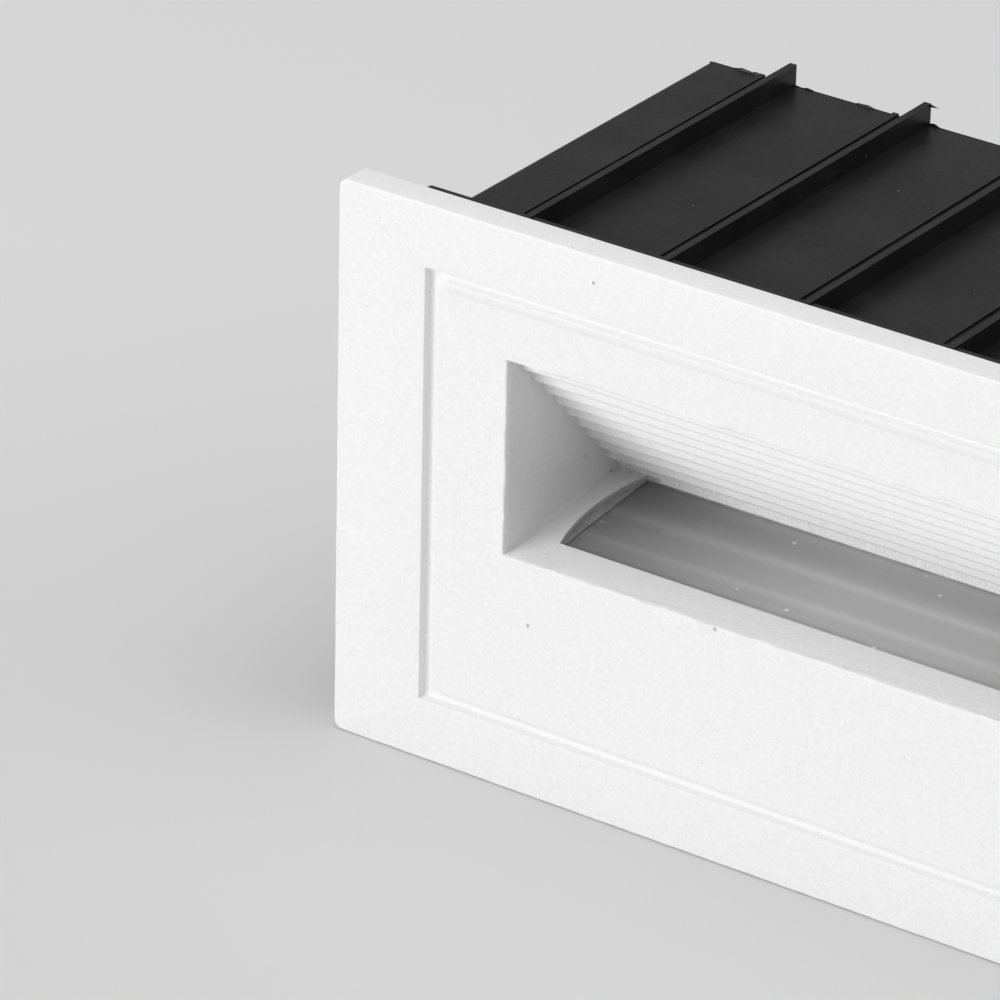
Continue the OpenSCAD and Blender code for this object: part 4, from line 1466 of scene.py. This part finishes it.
@dataclass(frozen=True)
class Coil:
    """A clip's torsion spring: one wire, with a leg on the bracket and a leg on the blade.

    Its coil is round the pin. Bend is half the height over which it passes from body to body, and
    is not used.
    """

    side: int
    pin_x: float = 83.45
    pin_y: float = 13.0
    mean_r: float = 2.2
    wire_r: float = 0.4
    half: float = 1.6
    leg: float = 10.0
    lean: float = math.radians(3.73)
    blade_x: float = 1.0
    blade_lean: float = 0.068
    blade_gap: float = 0.13
    blade_from: float = 2.1
    bend: float = 1.2
    leg_points: int = 30
    coil_points: int = 240
    sides: int = 10

    def line(self) -> np.ndarray:
        """The wire's middle line about the pin.

        The first leg comes down beside the bracket, the coil climbs evenly while it turns three
        times and two thirds, and the second leg goes up along the blade. A running mean rounds the
        two bends.

        Returns:
            Rows of X, Y, Z.
        """
        back = np.linspace(self.leg, 0.2, self.leg_points)
        lean_x, lean_y = back * math.sin(self.lean), back * math.cos(self.lean)
        end = math.acos((self.blade_x + self.blade_gap) / self.mean_r)
        turn = np.linspace(math.pi, 8 * math.pi + end, self.coil_points)
        climb = np.linspace(-self.half, self.half, self.coil_points)
        up = np.linspace(self.blade_from, self.leg, self.leg_points)
        first = xyz(-self.mean_r - lean_x, lean_y, -self.half)
        coil = xyz(self.mean_r * np.cos(turn), self.mean_r * np.sin(turn), climb)
        second = xyz(self.blade_x + self.blade_lean * up, up, self.half)
        line = np.vstack([first, coil, second])
        for _ in range(3):
            line[1:-1] = (line[:-2] + 2 * line[1:-1] + line[2:]) / 4
        return line

    def build(self) -> bpy.types.Object:
        """Builds the spring as a tube swept along its line.

        Each ring stands square to the line, on axes from the line's direction and the pin's, and
        the wire narrows to a point at both ends.

        Returns:
            The piece, which spans from the lamp body to the clip and rides on neither.
        """
        line = self.line()
        ahead = np.gradient(line, axis=0)
        ahead /= np.linalg.norm(ahead, axis=1)[:, None]
        level = np.cross(ahead, [0.0, 0.0, 1.0])
        level /= np.linalg.norm(level, axis=1)[:, None]
        up = np.cross(level, ahead)
        turn = circle(self.sides)[None, :, None]
        radius = np.full(len(line) + 2, self.wire_r)
        radius[[1, -2]] *= 0.8
        radius[[0, -1]] = 0.0
        pick = np.clip(np.arange(-1, len(line) + 1), 0, len(line) - 1)
        ring = np.cos(turn) * level[pick][:, None] + np.sin(turn) * up[pick][:, None]
        rows = line[pick][:, None] + radius[:, None, None] * ring
        made = Patches()
        made.grid(rows * [self.side, 1, 1] + [self.side * self.pin_x, self.pin_y, 0], True)
        word, body = ("left", Body.LEFT_CLIP) if self.side < 0 else ("right", Body.RIGHT_CLIP)
        piece = made.piece(f"coil_{word}", Shade.CAST, MERGE / 2)
        settle(piece, "spring_steel", None, f"clip_spring_{word}")
        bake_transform(piece)
        return piece


@dataclass(frozen=True)
class GlandNut:
    """Domed nut of the cable gland, six-sided with grip flutes.

    The dome's arc is its rise, its least radius and how far it reaches beyond that.
    """

    x: float = -52.667
    z: float = -21.75
    low: float = 60.676
    high: float = 73.738
    flats: float = 11.0
    corner_r: float = 12.35
    chamfer_r: float = 11.6
    brow: float = 68.2
    brow_r: float = 12.0
    dome: Triple = (5.1, 5.2, 5.6)
    neck_r: float = 7.5
    neck_top: float = 70.628
    mouth_r: float = 4.0
    mouth_edge: Pair = (4.5, 0.3)
    flutes: int = 36
    flute_depth: float = 0.22
    columns: int = 144

    def build(self) -> bpy.types.Object:
        """Builds the nut from one closed section turned about its axis.

        The outside follows a hexagon's radius, cut by shallow flutes, and eases to a circle in the
        dome. A row of the section is a depth, a radius, the hexagon's share and the flutes' share.

        Returns:
            The piece, which stands for the CAD node.
        """
        turn = circle(self.columns)
        sixth = math.pi / 3
        hexagon = np.minimum(self.flats / np.cos(turn % sixth - sixth / 2), self.corner_r)
        flute = self.flute_depth * np.maximum(0, np.sin(turn * self.flutes)) ** 2
        low, brow, wide = self.low, self.brow, self.corner_r
        rise, least, reach = self.dome
        edge_r, edge_h = self.mouth_edge
        rows = [
            (low, self.neck_r, 0, 0),
            (low, self.flats / wide * self.brow_r, 0, 0),
            (low, self.chamfer_r, 1, 0),
            (low + 0.5, wide, 1, 0),
            (low + 0.9, wide, 1, 1),
            (brow - 0.4, wide, 1, 1),
            (brow, self.brow_r, 1, 0),
            *(
                (brow + 0.2 + rise * math.sin(a), least + reach * math.cos(a), 0, 0)
                for a in quarter(8)
            ),
            (self.high, edge_r, 0, 0),
            (self.high - edge_h, self.mouth_r, 0, 0),
            (self.neck_top, self.mouth_r, 0, 0),
            (self.neck_top, self.neck_r, 0, 0),
            (low, self.neck_r, 0, 0),
        ]
        y, r, share, cut = (column[:, None] for column in np.array(rows, float).T)
        radius = share * (hexagon * r / wide - flute * cut) + (1 - share) * r
        made = Patches()
        made.grid(xyz(radius * np.cos(turn), y, radius * np.sin(turn)) + [self.x, 0, self.z], True)
        piece = made.piece("gland_nut_body", Shade.MACHINED)
        return settle(piece, "black_nylon", Body.LAMP, "gland_nut")


@dataclass(frozen=True)
class Flash:
    """Ragged flash that the mould left on the box's rear top edge, and a burr on a rib's end."""

    half_l: float = 90.6
    y: float = 85.9
    z: float = 50.4
    bar_y: Pair = (-0.35, 0.1)
    sunk: float = 0.3
    least: float = 0.04
    height: float = 0.8
    cut: float = 0.08
    sizes: Pair = (4.3, 1.1)
    seeds: tuple[int, int] = (31, 32)
    columns: int = 900
    burr: Triple = (-43.2, 85.9, 54.3)
    burr_shape: tuple[Triple, ...] = (
        (0, -0.3, 0.25),
        (0, 0.1, 0.25),
        (0, 0, -0.4),
        (2.2, 0.1, -0.2),
    )

    def build(self) -> bpy.types.Object:
        """Builds a closed three-sided bar and the burr's four sides.

        The bar's crest is a noise at 1 to 4 mm, cut off below a limit.

        Returns:
            The piece.
        """
        x = np.linspace(-self.half_l, self.half_l, self.columns)
        noise = ragged_noise(xyz(x, 0.0, 0.0), self.sizes, self.seeds)
        crest = self.z + self.least + self.height * np.maximum(0, noise - self.cut)
        foot = self.z - self.sunk
        front, back = (xyz(x, self.y + shift, foot) for shift in self.bar_y)
        rows = np.stack([front, xyz(x, self.y, crest), back], axis=1)
        made = Patches()
        made.grid(rows, True)
        corners = np.array(self.burr) + np.array(self.burr_shape)
        sides = ([0, 1, 2], [0, 1, 3], [1, 2, 3], [0, 2, 3])
        for face in (rows[0], rows[-1], *(corners[pick] for pick in sides)):
            made.flat(face)
        return settle(made.piece("box_flash", Shade.CAST), "black_box", Body.BOX)


@dataclass(frozen=True)
class Fasteners:
    """The sets of screws.

    The retainer's are half their distances along the face and the sill, and a height square to
    the sill. The board's are half their distance and a height, and the others are places.
    """

    middle_s: float = 22.534
    retainer: Triple = (71.9, 7.333, -8.4)
    board: Pair = (55.0, -22.4)
    corner: Triple = (82.7, 5.8, 33.0)
    earth: Triple = (-67.33, 54.0, 9.05)

    def build(self) -> list[bpy.types.Object]:
        """Builds each set, placed in the sill's frame or on the plate's back.

        Returns:
            One piece per set.
        """
        cast = Casting()
        tilt = (0.0, -math.sin(SILL_TURN), math.cos(SILL_TURN))
        down, back = tuple(-v for v in tilt), (0.0, 1.0, 0.0)
        half_x, half_s, n = self.retainer
        s = self.middle_s + half_s * np.array([-1, -1, 1, 1])
        retainer = tuple(map(tuple, cast.on_sill(half_x * np.array([-1, 1, -1, 1]), s, n)))
        half_x, n = self.board
        board = tuple(map(tuple, cast.on_sill(np.array([-half_x, half_x]), self.middle_s, n)))
        x, y, z = self.corner
        corners = tuple((a * x, y, b * z) for a in (-1, 1) for b in (-1, 1))
        earth = (self.earth,)
        sets = (
            Screws("housing_screws", "zinc_screw", corners, back, 3.4, 2.4, 2.0, 9.6),
            Screws("earth_screw", "brass_screw", earth, back, 3.5, 2.6, 2.0, 3.0, Drive.SLOT),
            Screws("retainer_screws", "zinc_screw", retainer, down, 2.2, 1.6, 1.25, 7.0, pitch=0.5),
            Screws("board_screws", "zinc_screw", board, tilt, 2.0, 1.2, 1.25, 4.1, pitch=0.5),
        )
        return [screws.build() for screws in sets]


# Studio


@dataclass(frozen=True)
class Shot:
    """The photograph's camera, worked out from the plate's edges.

    Angles are in degrees, the focal length is in sensor widths and the place is in metres.
    """

    azimuth: float = 34.70
    elevation: float = 26.65
    roll: float = -1.19
    focal: float = 7.459
    sensor: float = 36.0
    place: Triple = (0.5989, -0.9750, 0.5938)

    def build(self) -> bpy.types.Object:
        """Adds the camera.

        Returns:
            The camera object.
        """
        a, e, r = (math.radians(v) for v in (self.azimuth, self.elevation, self.roll))
        flat = math.cos(e)
        ahead = Vector((-math.sin(a) * flat, math.cos(a) * flat, -math.sin(e)))
        level = Vector((math.cos(a), math.sin(a), 0.0))
        down = ahead.cross(level)
        right = math.cos(r) * level + math.sin(r) * down
        under = -math.sin(r) * level + math.cos(r) * down
        turn = Matrix((right, -under, -ahead)).transposed()
        data = bpy.data.cameras.new("camera")
        data.sensor_width = self.sensor
        data.lens = self.focal * self.sensor
        data.clip_end = 50.0
        made = linked("camera", data)
        made.matrix_world = Matrix.Translation(self.place) @ turn.to_4x4()
        bpy.context.scene.camera = made
        return made


@dataclass(frozen=True)
class Softbox:
    """A rectangular area light that faces the origin. Lengths are in metres and power in watts."""

    name: str
    width: float
    height: float
    power: float
    place: Triple

    def build(self) -> bpy.types.Object:
        """Adds the light.

        Returns:
            The light object.
        """
        data = bpy.data.lights.new(self.name, "AREA")
        data.shape = "RECTANGLE"
        data.size = self.width
        data.size_y = self.height
        data.energy = self.power
        made = linked(self.name, data)
        place = Vector(self.place)
        turn = place.to_track_quat("Z", "Y").to_matrix().to_4x4()
        made.matrix_world = Matrix.Translation(place) @ turn
        return made


@dataclass(frozen=True)
class Studio:
    """Pale floor, a low wide softbox in front, a softer one above and an even surround.

    The floor's height and size are in metres. It grows paler away from the camera, along ahead,
    as painted light.
    """

    floor_z: float = -0.0551
    floor_size: float = 4.0
    floor_near: float = 0.716
    floor_far: float = 0.812
    ahead: Pair = (-0.569, 0.822)
    pale_from: Pair = (0.0, 300.0)
    cloud: Grain = Grain(60.0)
    ambient: float = 0.45
    softboxes: tuple[Softbox, ...] = (
        Softbox("key", 1.5, 0.7, 35.9, (-1.0, -2.19, 0.9)),
        Softbox("top", 1.5, 1.5, 12.1, (0.3, 0.25, 2.05)),
    )

    def floor(self) -> bpy.types.Object:
        """Adds the floor.

        Returns:
            The floor object.
        """
        half = self.floor_size / 2
        points = xyz([-half, half, half, -half], [-half, -half, half, half], self.floor_z)
        mesh = bpy.data.meshes.new("floor")
        mesh.from_pydata(points.tolist(), [], [[0, 1, 2, 3]])
        made = linked("floor", mesh)
        graph = Graph("mat_floor")
        x, y, _ = graph.axes()
        # Painted light: the floor grows paler away from the camera
        far = x * self.ahead[0] + y * self.ahead[1]
        pale = far.ramp(*self.pale_from) + 0.05 * graph.noise(self.cloud)
        tone = graph.blend(pale, grey(self.floor_near), grey(self.floor_far))
        graph.set(Base_Color=tone, Roughness=0.9, Specular_IOR_Level=0.1)
        mesh.materials.append(graph.material)
        return made

    def build(self) -> None:
        """Adds the floor, the softboxes and the surround."""
        self.floor()
        for softbox in self.softboxes:
            softbox.build()
        world = bpy.data.worlds.new("surround")
        bpy.context.scene.world = world
        world.use_nodes = True
        back = world.node_tree.nodes["Background"]
        back.inputs["Color"].default_value = grey(1.0)
        back.inputs["Strength"].default_value = self.ambient
        bpy.context.scene.view_settings.view_transform = "Standard"


def main() -> None:
    """Builds every piece, the camera and the studio."""
    logging.basicConfig(level=logging.INFO, format="%(levelname)s %(message)s")
    Casting().build()
    Optics().build()
    Housing().build()
    Softened(Body.LEFT_CLIP, (("clip_arm_left", "spring_steel", 0.12),)).build()
    Softened(Body.RIGHT_CLIP, (("clip_arm_right", "spring_steel", 0.12),)).build()
    WallBox().build()
    Fasteners().build()
    for side in (-1, 1):
        Coil(side).build()
    GlandNut().build()
    Flash().build()
    Shot().build()
    Studio().build()


if __name__ == "__main__":
    main()
